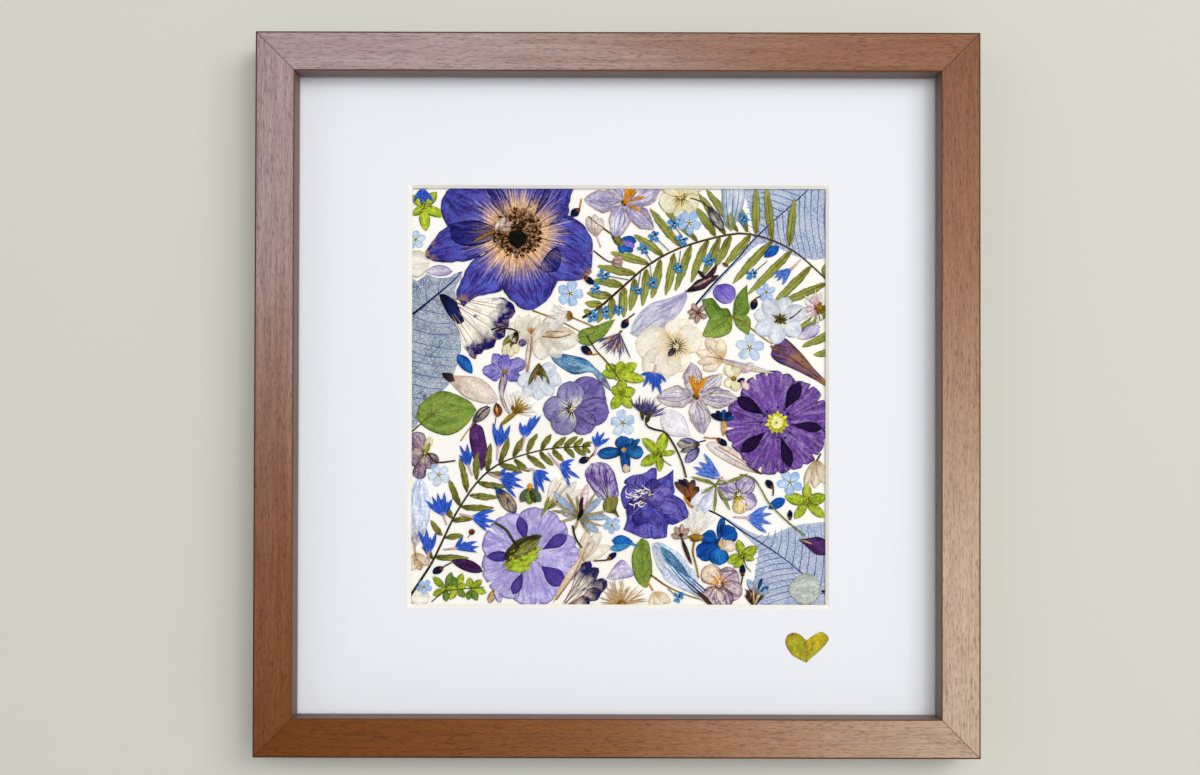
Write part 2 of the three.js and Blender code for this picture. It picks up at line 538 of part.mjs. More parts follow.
specimen('green_flower_pair', 3, LEAF_GREEN, [
  outline([
    [88.7, 109.5], [91, 106.5], [94, 105.2], [97.5, 105.5], [98.2, 104.5], [98, 101.3],
    [93.7, 102.2], [96, 98.5], [93.5, 95.5], [93.8, 91.2], [98.5, 94.8], [103, 91.8],
    [103.5, 96], [104.8, 96.2], [105, 100.5], [109.5, 104.8], [106, 106], [107, 108.3],
    [105.5, 110.5], [105.7, 113.3], [100, 111.5], [98.5, 114.2], [94, 114], [91, 112]]),
  stem([[82.5, 124], [91, 114], [98.5, 104.5]], 0.6)]);

specimen('green_flower_mid', 2, LEAF_GREEN, [
  blade([115.8, 69.5], [118.8, 81], 5.2), blade([117, 70], [108.2, 78.2], 4.4),
  blade([117, 71], [107.3, 65.2], 5), blade([116.3, 71.5], [116.5, 62.2], 3.6),
  blade([115.5, 70.3], [124, 71.6], 3), stem([[116.5, 70], [118.5, 67.3], [121.8, 65]], 0.5)]);

specimen('green_flower_right', 2, LEAF_GREEN, [
  blade([185.7, 47], [185.5, 57.3], 4.4), blade([187, 47.5], [174.8, 51.2], 5.6),
  blade([184.5, 47], [195.5, 51.2], 5.6), blade([185, 48], [194, 40.8], 4.6),
  blade([186.5, 48], [179.5, 40], 4.2)]);

specimen('oval_leaf', 2, LEAF_GREEN, [
  outline([
    [108, 31], [106, 29], [104, 25], [103.3, 21], [103.8, 16], [104.8, 12.5], [107, 9.5],
    [109.5, 7.8], [110.7, 8], [112, 12], [113, 15], [112.3, 23], [111.2, 29]]),
  stem([[112, 14.3], [120, 8.5], [129, 4.4], [135, 2.6]], 0.8)]);

specimen('harebell', 3, LILAC, [outline([
  [84.5, 64.8], [81.5, 62], [83.5, 56], [87, 50.5], [90, 47.5], [89.8, 45], [91, 43.3],
  [95.5, 43.2], [96.7, 41.3], [97.1, 41.8], [96, 44.5], [97, 49.5], [95.2, 49.5],
  [95, 52], [94.3, 59], [93, 63.3], [91, 65.5], [88, 65.8]])]);

specimen('spurred_flower', 3, LILAC, [outline([
  [32.5, 113], [32.7, 108], [34, 106.8], [38.5, 105.7], [41.5, 106.5], [40.8, 103],
  [41.5, 98], [43.5, 92.5], [45, 89.7], [46, 90.3], [44.5, 94], [43.5, 99], [44.5, 104.5],
  [49, 106.5], [50.5, 104.5], [52, 106], [51.5, 109], [52.5, 112], [53.5, 114.8],
  [51.5, 116], [48, 117], [43, 117.8], [38, 118], [38, 116], [34, 115]])]);

specimen('tan_petal', 3, CREAM, [outline([
  [14.2, 108.2], [16.5, 105.5], [18.2, 103.8], [21, 100.5], [25, 97], [30, 95], [35, 94],
  [39.5, 94.5], [40.7, 96], [38.5, 100], [35, 104], [31, 106.3], [24, 107], [19, 107.2],
  [16, 108]])]);

// heart leaf: one two-lobed leaflet laid on the face of the mat, tip downwards
const heart = outline([
  [0, 0], [2.2, 2.2], [5.7, 5.1], [8.9, 8.6], [10.5, 11.2], [9.2, 13.4], [6.9, 14.6],
  [3.9, 13.2], [1.6, 11.9], [0, 10.6], [-2.8, 13.1], [-5.7, 14.1], [-8.6, 13],
  [-9.9, 10.1], [-8.9, 6.8], [-6.6, 3.6], [-3.4, 1.8]]);
piece(bed, 'heart_leaf', heart, LEAF_GREEN)
  .position.set(184.9, -26.9, BED_GAP + MAT + 2 * GAP);

export default frame;
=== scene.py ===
"""Looks of the pressed flower frame: wood grain, mat, card and every pressed specimen.

Flower places are millimetres to the right of and above the lower left corner of the
mat window; heights are millimetres in front of the card. Everything ends up in metres.
"""
import math
import random

import bpy
import numpy as np
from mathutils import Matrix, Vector


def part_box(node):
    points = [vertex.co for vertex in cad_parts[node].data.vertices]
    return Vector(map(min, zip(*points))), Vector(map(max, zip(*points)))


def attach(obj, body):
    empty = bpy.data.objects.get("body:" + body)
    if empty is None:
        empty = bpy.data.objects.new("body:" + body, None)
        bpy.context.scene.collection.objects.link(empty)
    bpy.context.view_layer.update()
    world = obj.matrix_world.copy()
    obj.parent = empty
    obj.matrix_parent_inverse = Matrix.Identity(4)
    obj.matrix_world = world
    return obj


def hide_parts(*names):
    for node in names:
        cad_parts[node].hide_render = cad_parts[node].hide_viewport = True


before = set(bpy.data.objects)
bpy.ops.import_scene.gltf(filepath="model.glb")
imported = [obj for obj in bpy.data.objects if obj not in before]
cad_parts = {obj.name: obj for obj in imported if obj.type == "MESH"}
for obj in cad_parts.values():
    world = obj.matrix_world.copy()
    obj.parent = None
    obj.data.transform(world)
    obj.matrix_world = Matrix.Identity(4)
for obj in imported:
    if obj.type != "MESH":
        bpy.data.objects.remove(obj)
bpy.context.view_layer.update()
bpy.ops.object.select_all(action="DESELECT")

MM = 0.001
bed_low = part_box("small_flower_bed")[0]
card_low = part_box("flower_card")[0]
mat_low, mat_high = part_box("mat_board")
rail_low, rail_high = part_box("top_rail")
BED_MARGIN = 4 * MM     # how far the flower bed runs on under the mat
WINDOW_X = bed_low.x + BED_MARGIN
WINDOW_Z = bed_low.z + BED_MARGIN
CARD_Y = card_low.y     # the face of the card
WINDOW = (194, 195)     # width and height of the mat window, mm
BEVEL = 1.6             # width of its bevel, mm
CENTRE_Z = (mat_low.z + mat_high.z) / 2
HALF = rail_high.z - CENTRE_Z       # half the outer width of the frame
FRONT_Y = rail_low.y
LAYER = 0.2             # pitch of the flower layers, mm
LOWEST, CEILING = 0.03, 1.33        # nearest and farthest a petal lies in front of the card, mm
SKIN = 0.06             # thickness of a petal, mm
DEPTH = 1.12            # deepens the colours of dried petals
GOLDEN = 137.5          # golden angle: spreads seeds evenly over a round
rng = random.Random(7)


# ---------------------------------------------------------------- colours
def rgb(code):
    """Linear colour of a six-digit hex code."""
    parts = [int(code[i:i + 2], 16) / 255 for i in (0, 2, 4)]
    return tuple(c / 12.92 if c <= 0.04045 else ((c + 0.055) / 1.055) ** 2.4 for c in parts) + (1,)


class Finish:
    """A material under construction: small helpers that add and join its nodes."""

    def __init__(self, name, roughness=0.7, specular=0.3):
        self.material = bpy.data.materials.new(name)
        self.material.use_nodes = True
        self.tree = self.material.node_tree
        self.shader = self.tree.nodes["Principled BSDF"]
        self.shader.inputs["Roughness"].default_value = roughness
        self.shader.inputs["Specular IOR Level"].default_value = specular
        self.coords = self.tree.nodes.new("ShaderNodeTexCoord")
        self.place = self.coords.outputs["Object"]

    def put(self, value, socket):
        if isinstance(value, bpy.types.NodeSocket):
            self.tree.links.new(value, socket)
        else:
            socket.default_value = value

    def node(self, kind, **settings):
        made = self.tree.nodes.new("ShaderNode" + kind)
        for key, value in settings.items():
            setattr(made, key, value)
        return made

    def math(self, operation, a, b=0):
        made = self.node("Math", operation=operation)
        self.put(a, made.inputs[0])
        self.put(b, made.inputs[1])
        return made.outputs[0]

    def times(self, a, b):
        return self.math("MULTIPLY", a, b)

    def plus(self, a, b):
        return self.math("ADD", a, b)

    def minus(self, a, b):
        return self.math("SUBTRACT", a, b)

    def split(self, vector):
        made = self.node("SeparateXYZ")
        self.put(vector, made.inputs[0])
        return made.outputs

    def join(self, x, y, z=0):
        made = self.node("CombineXYZ")
        for value, socket in zip((x, y, z), made.inputs):
            self.put(value, socket)
        return made.outputs[0]

    def scaled(self, vector, scale):
        made = self.node("Mapping")
        self.put(vector, made.inputs["Vector"])
        made.inputs["Scale"].default_value = scale
        return made.outputs[0]

    def noise(self, vector, scale, detail=3, rough=0.6):
        made = self.node("TexNoise")
        self.put(vector, made.inputs["Vector"])
        made.inputs["Scale"].default_value = scale
        made.inputs["Detail"].default_value = detail
        made.inputs["Roughness"].default_value = rough
        return made.outputs["Fac"]

    def web(self, vector, scale):
        """Distance to the walls of a net of cells."""
        made = self.node("TexVoronoi", feature="DISTANCE_TO_EDGE")
        self.put(vector, made.inputs["Vector"])
        made.inputs["Scale"].default_value = scale
        return made.outputs["Distance"]

    def between(self, value, low, high, at_low=0, at_high=1):
        made = self.node("MapRange")
        for v, socket in zip((value, low, high, at_low, at_high), made.inputs):
            self.put(v, socket)
        return made.outputs[0]

    def ramp(self, value, stops):
        made = self.node("ValToRGB")
        self.put(value, made.inputs[0])
        points = made.color_ramp.elements
        while len(points) < len(stops):
            points.new(0.5)
        for point, (position, code) in zip(points, stops):
            point.position = position
            point.color = rgb(code)
        return made.outputs[0]

    def mix(self, share, a, b, blend="MIX"):
        made = self.node("Mix", data_type="RGBA", blend_type=blend)
        self.put(share, made.inputs[0])
        self.put(rgb(a) if isinstance(a, str) else a, made.inputs[6])
        self.put(rgb(b) if isinstance(b, str) else b, made.inputs[7])
        return made.outputs[2]

    def attribute(self, name):
        return self.node("Attribute", attribute_name=name).outputs["Fac"]

    def bump(self, height, distance, strength=1):
        made = self.node("Bump")
        made.inputs["Strength"].default_value = strength
        made.inputs["Distance"].default_value = distance
        self.put(height, made.inputs["Height"])
        self.tree.links.new(made.outputs[0], self.shader.inputs["Normal"])

    def warp(self, scale, amount):
        """The place, pushed about by noise."""
        made = self.node("TexNoise")
        self.put(self.place, made.inputs["Vector"])
        made.inputs["Scale"].default_value = scale
        push = self.node("VectorMath", operation="MULTIPLY_ADD")
        self.put(made.outputs["Color"], push.inputs[0])
        push.inputs[1].default_value = (amount,) * 3
        self.put(self.place, push.inputs[2])
        return push.outputs[0]

    def colour(self, value):
        self.put(rgb(value) if isinstance(value, str) else value, self.shader.inputs["Base Color"])

    def alpha(self, value):
        self.put(value, self.shader.inputs["Alpha"])
        self.material.surface_render_method = "BLENDED"


def petal_finish(name, colours, lines=1, strength=0.6, blotch=None, clear=1, base_to=0.3, tip_from=0.75,
        tip_to=1, mottle=1, crease=0.35, halo=None, torn=False):
    """Dried petal or leaf: colours along it, fibres that follow it, darker rim, creases and stains.

    The colours are those of base, body, tip, rim, fibres and patches, with - for none.
    """
    codes = [None if code == "-" else code for code in (colours + " - - -").split()]
    base, body, tip, edge, vein, second = codes[:6]
    f = Finish(name, roughness=0.75, specular=0.09)
    uv = f.split(f.coords.outputs["UV"])
    across, along = uv[0], uv[1]
    tone, breadth, reach = f.attribute("tone"), f.attribute("breadth"), f.attribute("reach")
    seed = f.times(tone, 37)
    wide, far = f.times(across, breadth), f.times(along, reach)
    cloud = f.noise(f.place, 260, 3)
    crinkle = f.noise(f.place, 1000, 4, 0.72)
    run = f.plus(along, f.times(f.minus(cloud, 0.5), 0.45))
    body_from = min(base_to + 0.15, tip_from - 0.01)
    shade = f.ramp(run, [(0, base), (base_to * 0.5, base), (body_from, body), (tip_from, body),
        (tip_to, tip)])
    if second:
        patch = f.noise(f.warp(300, 0.004), 130, 3)
        shade = f.mix(f.between(patch, 0.42, 0.6, 0, 0.8), shade, second)
    dark = vein or edge or base
    lane = f.join(f.times(wide, lines * 0.8), f.times(far, 0.09), seed)
    fibre_noise = f.noise(lane, 1, 4, 0.75)
    fibre = f.between(fibre_noise, 0.505, 0.565)
    shade = f.mix(f.times(fibre, strength), shade, dark)
    fold = f.between(f.web(f.warp(420, 0.006), 150), 0, 0.022, crease, 0)
    shade = f.mix(fold, shade, dark)
    if halo:
        x, z, code, near, end = halo
        place = f.split(f.place)
        dx, dz = (f.times(f.minus(place[i], c), 1000) for i, c in ((0, x), (2, z)))
        away = f.math("SQRT", f.plus(f.times(dx, dx), f.times(dz, dz)))
        turn = f.join(f.times(f.math("DIVIDE", dx, away), 44), f.times(f.math("DIVIDE", dz, away), 44),
            f.times(away, 0.06))
        ray = f.noise(turn, 1, 3, 0.75)
        stop = f.between(ray, 0.36, 0.66, near, end)
        share = f.between(away, f.times(stop, 0.62), stop, 1, 0)
        shade = f.mix(share, shade, f.mix(f.between(ray, 0.4, 0.6), code, "f2d8b0"))
    side = f.math("ABSOLUTE", f.minus(f.times(across, 2), 1))
    inset = f.times(f.minus(1, side), f.times(breadth, 0.5))
    rim = f.math("MINIMUM", inset, f.times(f.minus(1, along), reach))
    rim = f.plus(rim, f.times(f.minus(crinkle, 0.5), 0.9))
    if edge:
        shade = f.mix(f.between(rim, 0, 1.5, 0.35, 0), shade, edge)
        shade = f.mix(f.between(rim, 0.08, 0.42, 0.85, 0), shade, edge)
    if blotch:
        if torn:
            stain = f.between(f.noise(f.place, 380, 4, 0.75), 0.49, 0.53)
            reached = f.between(along, 0.8, 0.93, 0, 0.95)
        else:
            stain = f.between(f.noise(f.place, 520, 4, 0.7), 0.53, 0.6)
            reached = f.between(rim, 0.3, 3, 0.95, 0.3)
        shade = f.mix(f.times(stain, reached), shade, blotch)
    light = f.times(f.minus(crinkle, 0.5), 1.7 * mottle)
    light = f.plus(light, f.times(f.minus(cloud, 0.5), 0.7 * mottle))
    light = f.plus(light, f.times(tone, 0.16))
    light = f.plus(light, f.times(f.minus(fibre_noise, 0.5), -0.4))
    # see-through petals get a little extra lightness: painted light that makes up for the shade they cast
    # on the card beneath
    light = f.plus(light, 0.98 + 0.1 * (1 - clear))
    shade = f.mix(1, shade, f.join(light, light, light), "MULTIPLY")
    deep = f.node("Gamma")
    f.put(shade, deep.inputs[0])
    deep.inputs[1].default_value = DEPTH
    f.colour(deep.outputs[0])
    f.bump(f.plus(fibre_noise, crinkle), 0.00025, 0.9)
    if clear < 1:
        seen = f.plus(f.times(fibre, 0.3 * clear), clear)
        f.alpha(f.math("MAXIMUM", seen, f.between(rim, 0.05, 0.7, 0.9, clear)))
    return f.material


def skeleton_finish(name, thread, wash, clear, net):
    """Skeleton leaf: a fine net of threads with cleared cells between them."""
    f = Finish(name, roughness=0.8, specular=0.15)
    warped = f.warp(420, 0.0016)
    fine = f.between(f.web(warped, 760), 0.05, 0.16, 1, 0)
    coarse = f.between(f.web(warped, 380), 0.008, 0.04, 1, 0)
    cloud = f.noise(f.place, 110, 3)
    speck = f.between(f.noise(f.place, 1400, 2, 0.6), 0.54, 0.62)
    shade = f.mix(f.times(fine, 0.5), wash, thread)
    shade = f.mix(f.times(speck, 0.5), shade, thread)
    shade = f.mix(f.times(coarse, net), shade, thread)
    shade = f.mix(f.between(cloud, 0.42, 0.7, 0, 0.45), shade, "dfe8f2")
    f.colour(shade)
    seen = f.math("MAXIMUM", f.times(fine, 0.9), f.times(coarse, 0.97))
    f.alpha(f.math("MAXIMUM", seen, f.between(cloud, 0.3, 0.7, clear + 0.2, clear)))
    f.bump(f.math("MAXIMUM", fine, coarse), 0.0001, 0.6)
    return f.material


FINISHES, MATERIALS = {}, {}


def petal(name, colours, **settings):
    """Keeps a petal finish for later."""
    FINISHES[name] = lambda: petal_finish(name, colours, **settings)


ANEMONE_HEART = (49.5, 173.5)
HEART = (WINDOW_X + ANEMONE_HEART[0] * MM, WINDOW_Z + ANEMONE_HEART[1] * MM)

ANEMONE = dict(lines=1.2, strength=0.7, base_to=0.2, tip_from=0.7, halo=(*HEART, "d8944c", 14.5, 29))

# big blooms
petal("anemone_petal", "8478bc 584ea8 3a2e90 1c1450 241a68 5c68c0", blotch="241858", **ANEMONE)
petal("anemone_torn", "8478bc 584ea8 34267a 1c1450 241a68 5c68c0", blotch="b08450", torn=True, **ANEMONE)
petal("anemone_overlap", "1e1e84 1a1a80 18146c 100850 100850", lines=1.2, clear=0.28)
petal("purple_primula", "4c3070 744c9e 784ea4 1c0c34 b4a0cc 5a3680", lines=1.4, strength=0.5, base_to=0.12,
    crease=0.3, mottle=1.4)
petal("purple_overlap", "1c0c30 2c1448 301848 0c0418 180828", lines=1.2, strength=0.5, clear=0.85)
petal("lilac_primula", "a49cd4 bcb2e2 c4bcea 5c449c 6c60b0 d8d2f0", lines=1.1, strength=0.55, base_to=0.12,
    crease=0.3, mottle=0.8, clear=0.74)
petal("lilac_overlap", "4a368c 5c4a9c 6852a8 2c1c70 3c2a7c", lines=1.2, clear=0.85)
petal("viola_grey", "ece6dc 9e9ac2 8c84b4 4c4078 544c88", lines=1.2, clear=0.8, tip_from=0.6, crease=0.2)
petal("viola_purple", "7060a0 7c6cae 8070b4 3c285c 443074 948abe", lines=1.2, crease=0.3, clear=0.82)
petal("whisker", "0e0a24 14102c 1e163c", mottle=0.3)
petal("smudge", "1c1440 2c2460 6c5c9c", strength=0.4, clear=0.6)
petal("larkspur", "3c3088 6054b0 4c409c 241c5c 201860 8a80d0", lines=1.2, strength=0.65, blotch="3050b4",
    crease=0.4, clear=0.94)
petal("larkspur_light", "5448a0 7c70c0 6c60b4 30246c 2c2068 988ed4", lines=1.2, crease=0.3, clear=0.84)
petal("larkspur_deep", "2c2470 44388c 34287c 1a1450 140e48 5c50a0", lines=1.2, crease=0.3, clear=0.84)
petal("vein_violet", "8c84cc 9c94d4 7c74c0", strength=0.3)
petal("crumpled_cream", "f4eede f6f1e4 e6dcc6 - b09a74", strength=0.5)
petal("fold_brown", "8c6440 9c7850 a48460", strength=0.3)
petal("fold_lilac", "8c84ac a098bc aca4c8", strength=0.3)
petal("star_grey", "d0a880 e4e0f0 c8c0dc 8a5c3c 7c70a4 b0a8cc", strength=0.65, clear=0.75, base_to=0.14,
    crease=0.5)
petal("star_beige", "dcb888 f0ecec dcd4d0 7c5030 8c7c98 c4bed0", strength=0.65, clear=0.75, base_to=0.14,
    crease=0.5)
petal("pansy_cream", "f4e0b0 fffaf0 fdf2e0 ecd6b4 f0e2c8", lines=0.9, strength=0.3, clear=0.45, crease=0.1,
    mottle=0.4)
petal("pansy_yellow", "f0dc84 f8f4d8 f0ecd4 c4b078 d4c48c fcf8ec", lines=0.9, strength=0.4, clear=0.65,
    mottle=0.6, crease=0.4)

# leaves and ferns
petal("fern_green", "8c8a38 a0aa58 a6ae60 6a7034 78743a", lines=1.4, strength=0.4, blotch="a8984c",
    crease=0.05)
petal("fern_olive", "666a2c 8a9040 949a4c 5a5e26 5c5c28", lines=1.6, strength=0.45, blotch="a08c4c",
    crease=0.1)
petal("leaf_green", "6c882c 88a450 809c48 4c6c20 5c7c28 96ac58", lines=0.7, strength=0.5, blotch="9c9c3c",
    crease=0.5)
petal("leaf_dark", "507228 70943f 648836 40601c 48681f 7c9c48", lines=0.7, strength=0.5, blotch="7c7a30",
    crease=0.5)
petal("sepal_green", "7c8c20 a4c034 b4cc3c 5c6c14 647c14 bcd048", blotch="c8b848")
petal("olive_calyx", "545024 8c8a48 9c9c58 4c4420 44401a")
petal("heart_green", "c0ac2c ccbc34 90b434 9c8c28 a8842c 9cb838", lines=0.5, strength=0.4, blotch="8c5c24",
    crease=0.4)

# violet, lilac and blue flowers
petal("trumpet_lilac", "c4bcd8 f4f2fa dcf0e8 b4b4dc 7878bc", lines=1.1, clear=0.42, tip_from=0.8,
    mottle=0.4, crease=0.1)
petal("calyx_maroon", "2c1824 4a3440 6c5058 1c0f18 201418", strength=0.55)
petal("bell_blue", "9cb490 e8f0f8 d8e4f2 9cb0d0 6c8cbc", strength=0.55, clear=0.55, mottle=0.5, crease=0.1)
petal("navy", "0c1030 18265c 203070 080a24 0a0f30", strength=0.5)
petal("twisted_violet", "5c4cb0 a87c50 c8a474 4c2c1a 4c2f38 745488", lines=1.3, strength=0.8, crease=0.4,
    base_to=0.35, tip_from=0.8)
petal("twisted_orange", "8c5c24 a86c2c b48448 - 4c3058", lines=1.4, strength=0.7)
petal("bright_blue", "0c2c70 1450a8 1c68bc 08265c 0a2c6c 2c84c8", lines=1.1, strength=0.55)
petal("dark_blue", "0a2450 1c549c 2c74bc 082048 0a2450 3484c0", lines=1.1)
petal("rose_lilac", "ecb454 ccb8c4 a888ac 3c2048 5c3060 e4d6d0", strength=0.8, clear=0.92, base_to=0.25,
    crease=0.5)
petal("rose_cream", "ecb458 ecdcc4 d8c0b0 5c3440 845460", strength=0.7, clear=0.9, base_to=0.25)
petal("pale_lilac", "ece0c8 ece4ee c8bcd8 4c3470 5c4088 b4a8cc", lines=0.9, strength=0.7, clear=0.85,
    base_to=0.25, crease=0.4)
petal("pale_lip", "f0d050 ecdca0 e4d4b4 94785c 9c7a4c", strength=0.7)
petal("brown_lilac", "dcc898 a890a8 8468a0 2c1838 442850 c8b8b8", lines=1.1, strength=0.7, blotch="5c3c34")
petal("teal_petal", "8c6440 5490c0 245490 184c84 14508c a8ccd8", lines=0.8, strength=0.7, clear=0.9,
    crease=0.3, base_to=0.2, tip_from=0.7)
petal("lily_blue", "8a6c4c e2eaf6 d4e8f0 - 7c94cc f0f0f8", lines=0.9, strength=0.55, clear=0.65,
    base_to=0.14, crease=0.3)
petal("lily_core", "2c4c6c 1c8cb4 5cb4c8 - 1c4c80", lines=1.2, strength=0.5, clear=0.45)
petal("harebell_lilac", "ece4ea d8cce8 b09cd8 7460ac 7c64b4 f0ecf4", lines=0.9, strength=0.5, clear=0.7,
    crease=0.2)
petal("harebell_tube", "ece6ea b49cd0 6c3ca0 4c2c84 4c2484 d8cce8", lines=0.9, strength=0.75, clear=0.8,
    crease=0.2, tip_from=0.6)
petal("spurred_lilac", "b0a8d4 8e86ce 756dc2 4c40a0 463c9c bcb4e2", strength=0.65, clear=0.88, crease=0.6)
petal("maroon_velvet", "240e34 4c2458 583070 1a0824 281034 6c4084", lines=0.9, strength=0.5)
petal("tan_satin", "c0a080 faf0e2 ece2e2 ccb4a8 c4acA4", lines=0.9, strength=0.5, clear=0.75, crease=0.15,
    mottle=0.7)
petal("fan_cream", "c8a47c fefaf0 1c1264 - ccb08c", lines=1.1, strength=0.35, base_to=0.25, tip_from=0.7,
    tip_to=0.88, clear=0.92, crease=0.2, mottle=0.6)
petal("fan_brown", "946840 faecd6 1c1a58 2c2668 7c6450", lines=1.1, strength=0.5, tip_from=0.6, tip_to=0.84,
    mottle=0.7)
petal("cornflower", "e4dcec 3c6cd4 386ad8 2048a8 7494e4", lines=1.2, strength=0.4, base_to=0.14, crease=0.2)
petal("cornflower_pale", "e8e0ee 6c90e0 7096e4 3c64bc 90aaec", lines=1.1, strength=0.4, base_to=0.16,
    clear=0.85, crease=0.1)
petal("forget_blue", "f0f4fa b4d0f0 a4c6ee 74a0d8 84a8dc d4e4f6", lines=0.8, strength=0.5, clear=0.7,
    base_to=0.2, mottle=0.6)
petal("forget_pale", "eef2f6 c8dcf0 bcd4ec 94b4dc 98b8dc e4ecf4", lines=0.8, strength=0.45, clear=0.55,
    base_to=0.2, mottle=0.5)
petal("thread_blue", "5c88b0 4c9cd4 78bce6 2468a8 2a6cac", lines=1.2, strength=0.5, crease=0.1)

# buds, stems and small trims
petal("bud_navy", "4c3020 12204c 1c2c68 060a20 060b20", lines=1.6)
petal("bud_brown", "2c180c 84481c 9a6430 - 241208", lines=1.4, strength=0.5)
petal("stem_tan", "b8905c c9a46c c09860 - 7a5a30", strength=0.5)
petal("stem_pink", "dcb8b8 e0c4c0 c8b4d0 - a87c88", strength=0.4, mottle=0.5)
petal("rib_tan", "a47c4c c8a474 a890b4", strength=0.3, mottle=0.5)
petal("stem_grey", "4a5a44 62705c 6a7c70 - 34402c", strength=0.4)
petal("stem_brown", "34200f 5c3c20 7a5030 - 241408", strength=0.5)
petal("stem_olive", "4c4a18 6f6c2c 7c7834 - 34340f", strength=0.5)
petal("stem_gold", "8f7424 ab9038 b49a44 - 6c5418", strength=0.5)
petal("stem_dark", "34320f 4c4a1e 5a5626 - 201e08", strength=0.5)
petal("stem_rust", "4c3414 665028 6c5c2c - 3c200c")
petal("orange_tip", "c0781c f0a828 f4b43c b07414 c07c18", lines=1.2, strength=0.4)
petal("yellow_eye", "c8c428 e6de44 ecec8c b4b030 a8a81c", strength=0.5)
petal("pale_eye", "ece8a0 f3efb8 f6f3d0 - d8d088", strength=0.3, mottle=0.6)
petal("anther_black", "160c06 2e1a0c 402410 - 0a0502", strength=0.5)
petal("anther_tan", "7a5430 a87c50 c09468 - 5c3c20", strength=0.4)
petal("boss_black", "0c0a08 1a1812 2c2818 - 050403", lines=2, strength=0.5)
petal("midrib_navy", "0a0f30 1c3474 1c3f8c - 0a1440", strength=0.4)
petal("vein_blue", "34549c 5070b0 6480bc - 2c4c90", strength=0.4)
petal("fern_vein", "5a3c1c 6a4a22 6c5026 - 3c2810", strength=0.5)

# loose petals and dried florets
petal("cream_petal", "e4c894 fcf4e4 f6ead2 d8b888 dcc4a0", lines=0.9, strength=0.5, clear=0.62, mottle=0.6)
petal("cream_clear", "f2e8d0 fcf9f2 f8f4ea dccbb0 dccfb4", lines=0.9, strength=0.4, clear=0.34, mottle=0.5)
petal("beige_petal", "c4a880 f6ecd8 f2e6d0 bc9c70 ccac80", lines=0.9, strength=0.5, clear=0.7, mottle=0.6)
petal("tan_petal", "946c44 dcc49c e4ccac 946c44 94704c", lines=1.2, strength=0.5, blotch="8c6c4c",
    clear=0.9)
petal("white_petal", "e8e4ec f8f6fa f2f2f8 c8c4d4 d4d0dc", lines=0.8, strength=0.4, clear=0.5, mottle=0.5)
petal("blue_white", "eceae4 f6f8fd e6eef8 ccd6e8 c4d0e8", lines=0.9, strength=0.45, clear=0.5, mottle=0.5,
    crease=0.2)
petal("fluff", "dcc8a8 f4f0e8 f8f6f2 - d8ccb8", strength=0.3, clear=0.75, mottle=0.5)
petal("pink_white", "c0a0ac ead8dc f0e6e6 c4a0a4 c09ca4", strength=0.5)
petal("pale_pink", "ccb4a4 f2e6e0 e6d8d8 b49c90 c8a8a4", lines=0.9, strength=0.5, clear=0.65)
petal("brown_petal", "3c2818 7a5c44 8c6c50 34200f 34200f", lines=1.2, strength=0.7, blotch="4a3438")
petal("brown_pink", "94705c d0b8a8 c8a8a0 745450 84645c", lines=1.2, strength=0.5, clear=0.92)
petal("striped_bud", "4c4438 b4aca0 2c3058 242850 242c5c", strength=0.9)
petal("anther_bed", "4c3018 684826 5a3c20 - 1c1008", lines=2, strength=0.7, blotch="946c40", mottle=2)
petal("golden", "7c5c18 b08c34 c8a44c 6c4c10 6c4c14", lines=1.2)
petal("purple_tuft", "4c4068 8c82b4 beb6d6 4c3f70 443c64", lines=1.4, strength=0.3)
petal("purple_bud", "4c4474 9c94c0 a09ac4 342c5c 2c2458", lines=0.9, strength=0.7)
petal("violet_round", "5c48a8 8474c8 7864bc 4c3a98 5c4aac a89cdc", lines=0.9, strength=0.5)
petal("blue_petal", "12409c 1c5cb4 1c58b0 0c3480 103c84 2c80c8", lines=0.9)
petal("barrel_blue", "2c3c68 bca484 2c3864 24284c 2c4070", lines=1.1, strength=0.75)
petal("cone_floret", "a8642c 8c5c34 1c1f48 241c34 3c2418", strength=0.7, base_to=0.4, tip_from=0.6)
petal("pod_grey", "4c3c34 b4a698 c4b8a4 4c4048 4c4868", strength=0.75)
petal("nigella", "8c8468 b4c8e6 c4d4dc 8494a8 8c9cbc", strength=0.5, clear=0.7)
petal("dry_bract", "8c7844 c8b88c d0c49c 8c7c50 80703c", lines=1.2, strength=0.45)
petal("silver_petal", "c4ccc4 d8ddd6 ccd4cc a8b4a8 9cac9c", lines=0.9, strength=0.5, clear=0.7, crease=0.9)


def finish(name):
    """The material of that name, made the first time it is asked for."""
    if name not in MATERIALS:
        MATERIALS[name] = FINISHES[name]()
    return MATERIALS[name]


FINISHES["skeleton_net"] = lambda: skeleton_finish("skeleton_net", "3460b0", "d4deee", 0.5, 0.4)
FINISHES["skeleton_left"] = lambda: skeleton_finish("skeleton_left", "1c3060", "bccada", 0.6, 0.9)


# ---------------------------------------------------------------- shaping
def smooth_path(points, count):
    """A smooth run through the points, as count + 1 places evenly spaced along it."""
    p = np.array(points, float)
    if len(p) > 2:
        ends = np.vstack([2 * p[0] - p[1], p, 2 * p[-1] - p[-2]])
        t = np.linspace(0, 1, 8, endpoint=False)[:, None]
        runs = []
        for a, b, c, d in zip(ends, ends[1:], ends[2:], ends[3:]):
            runs.append(b + 0.5 * t * (c - a + t * (2 * a - 5 * b + 4 * c - d + t * (3 * (b - c) + d - a))))
        p = np.vstack(runs + [p[-1:]])
    length = np.concatenate([[0], np.cumsum(np.hypot(*np.diff(p, axis=0).T))])
    even = np.linspace(0, length[-1], count + 1)
    return np.column_stack([np.interp(even, length, p[:, i]) for i in (0, 1)])


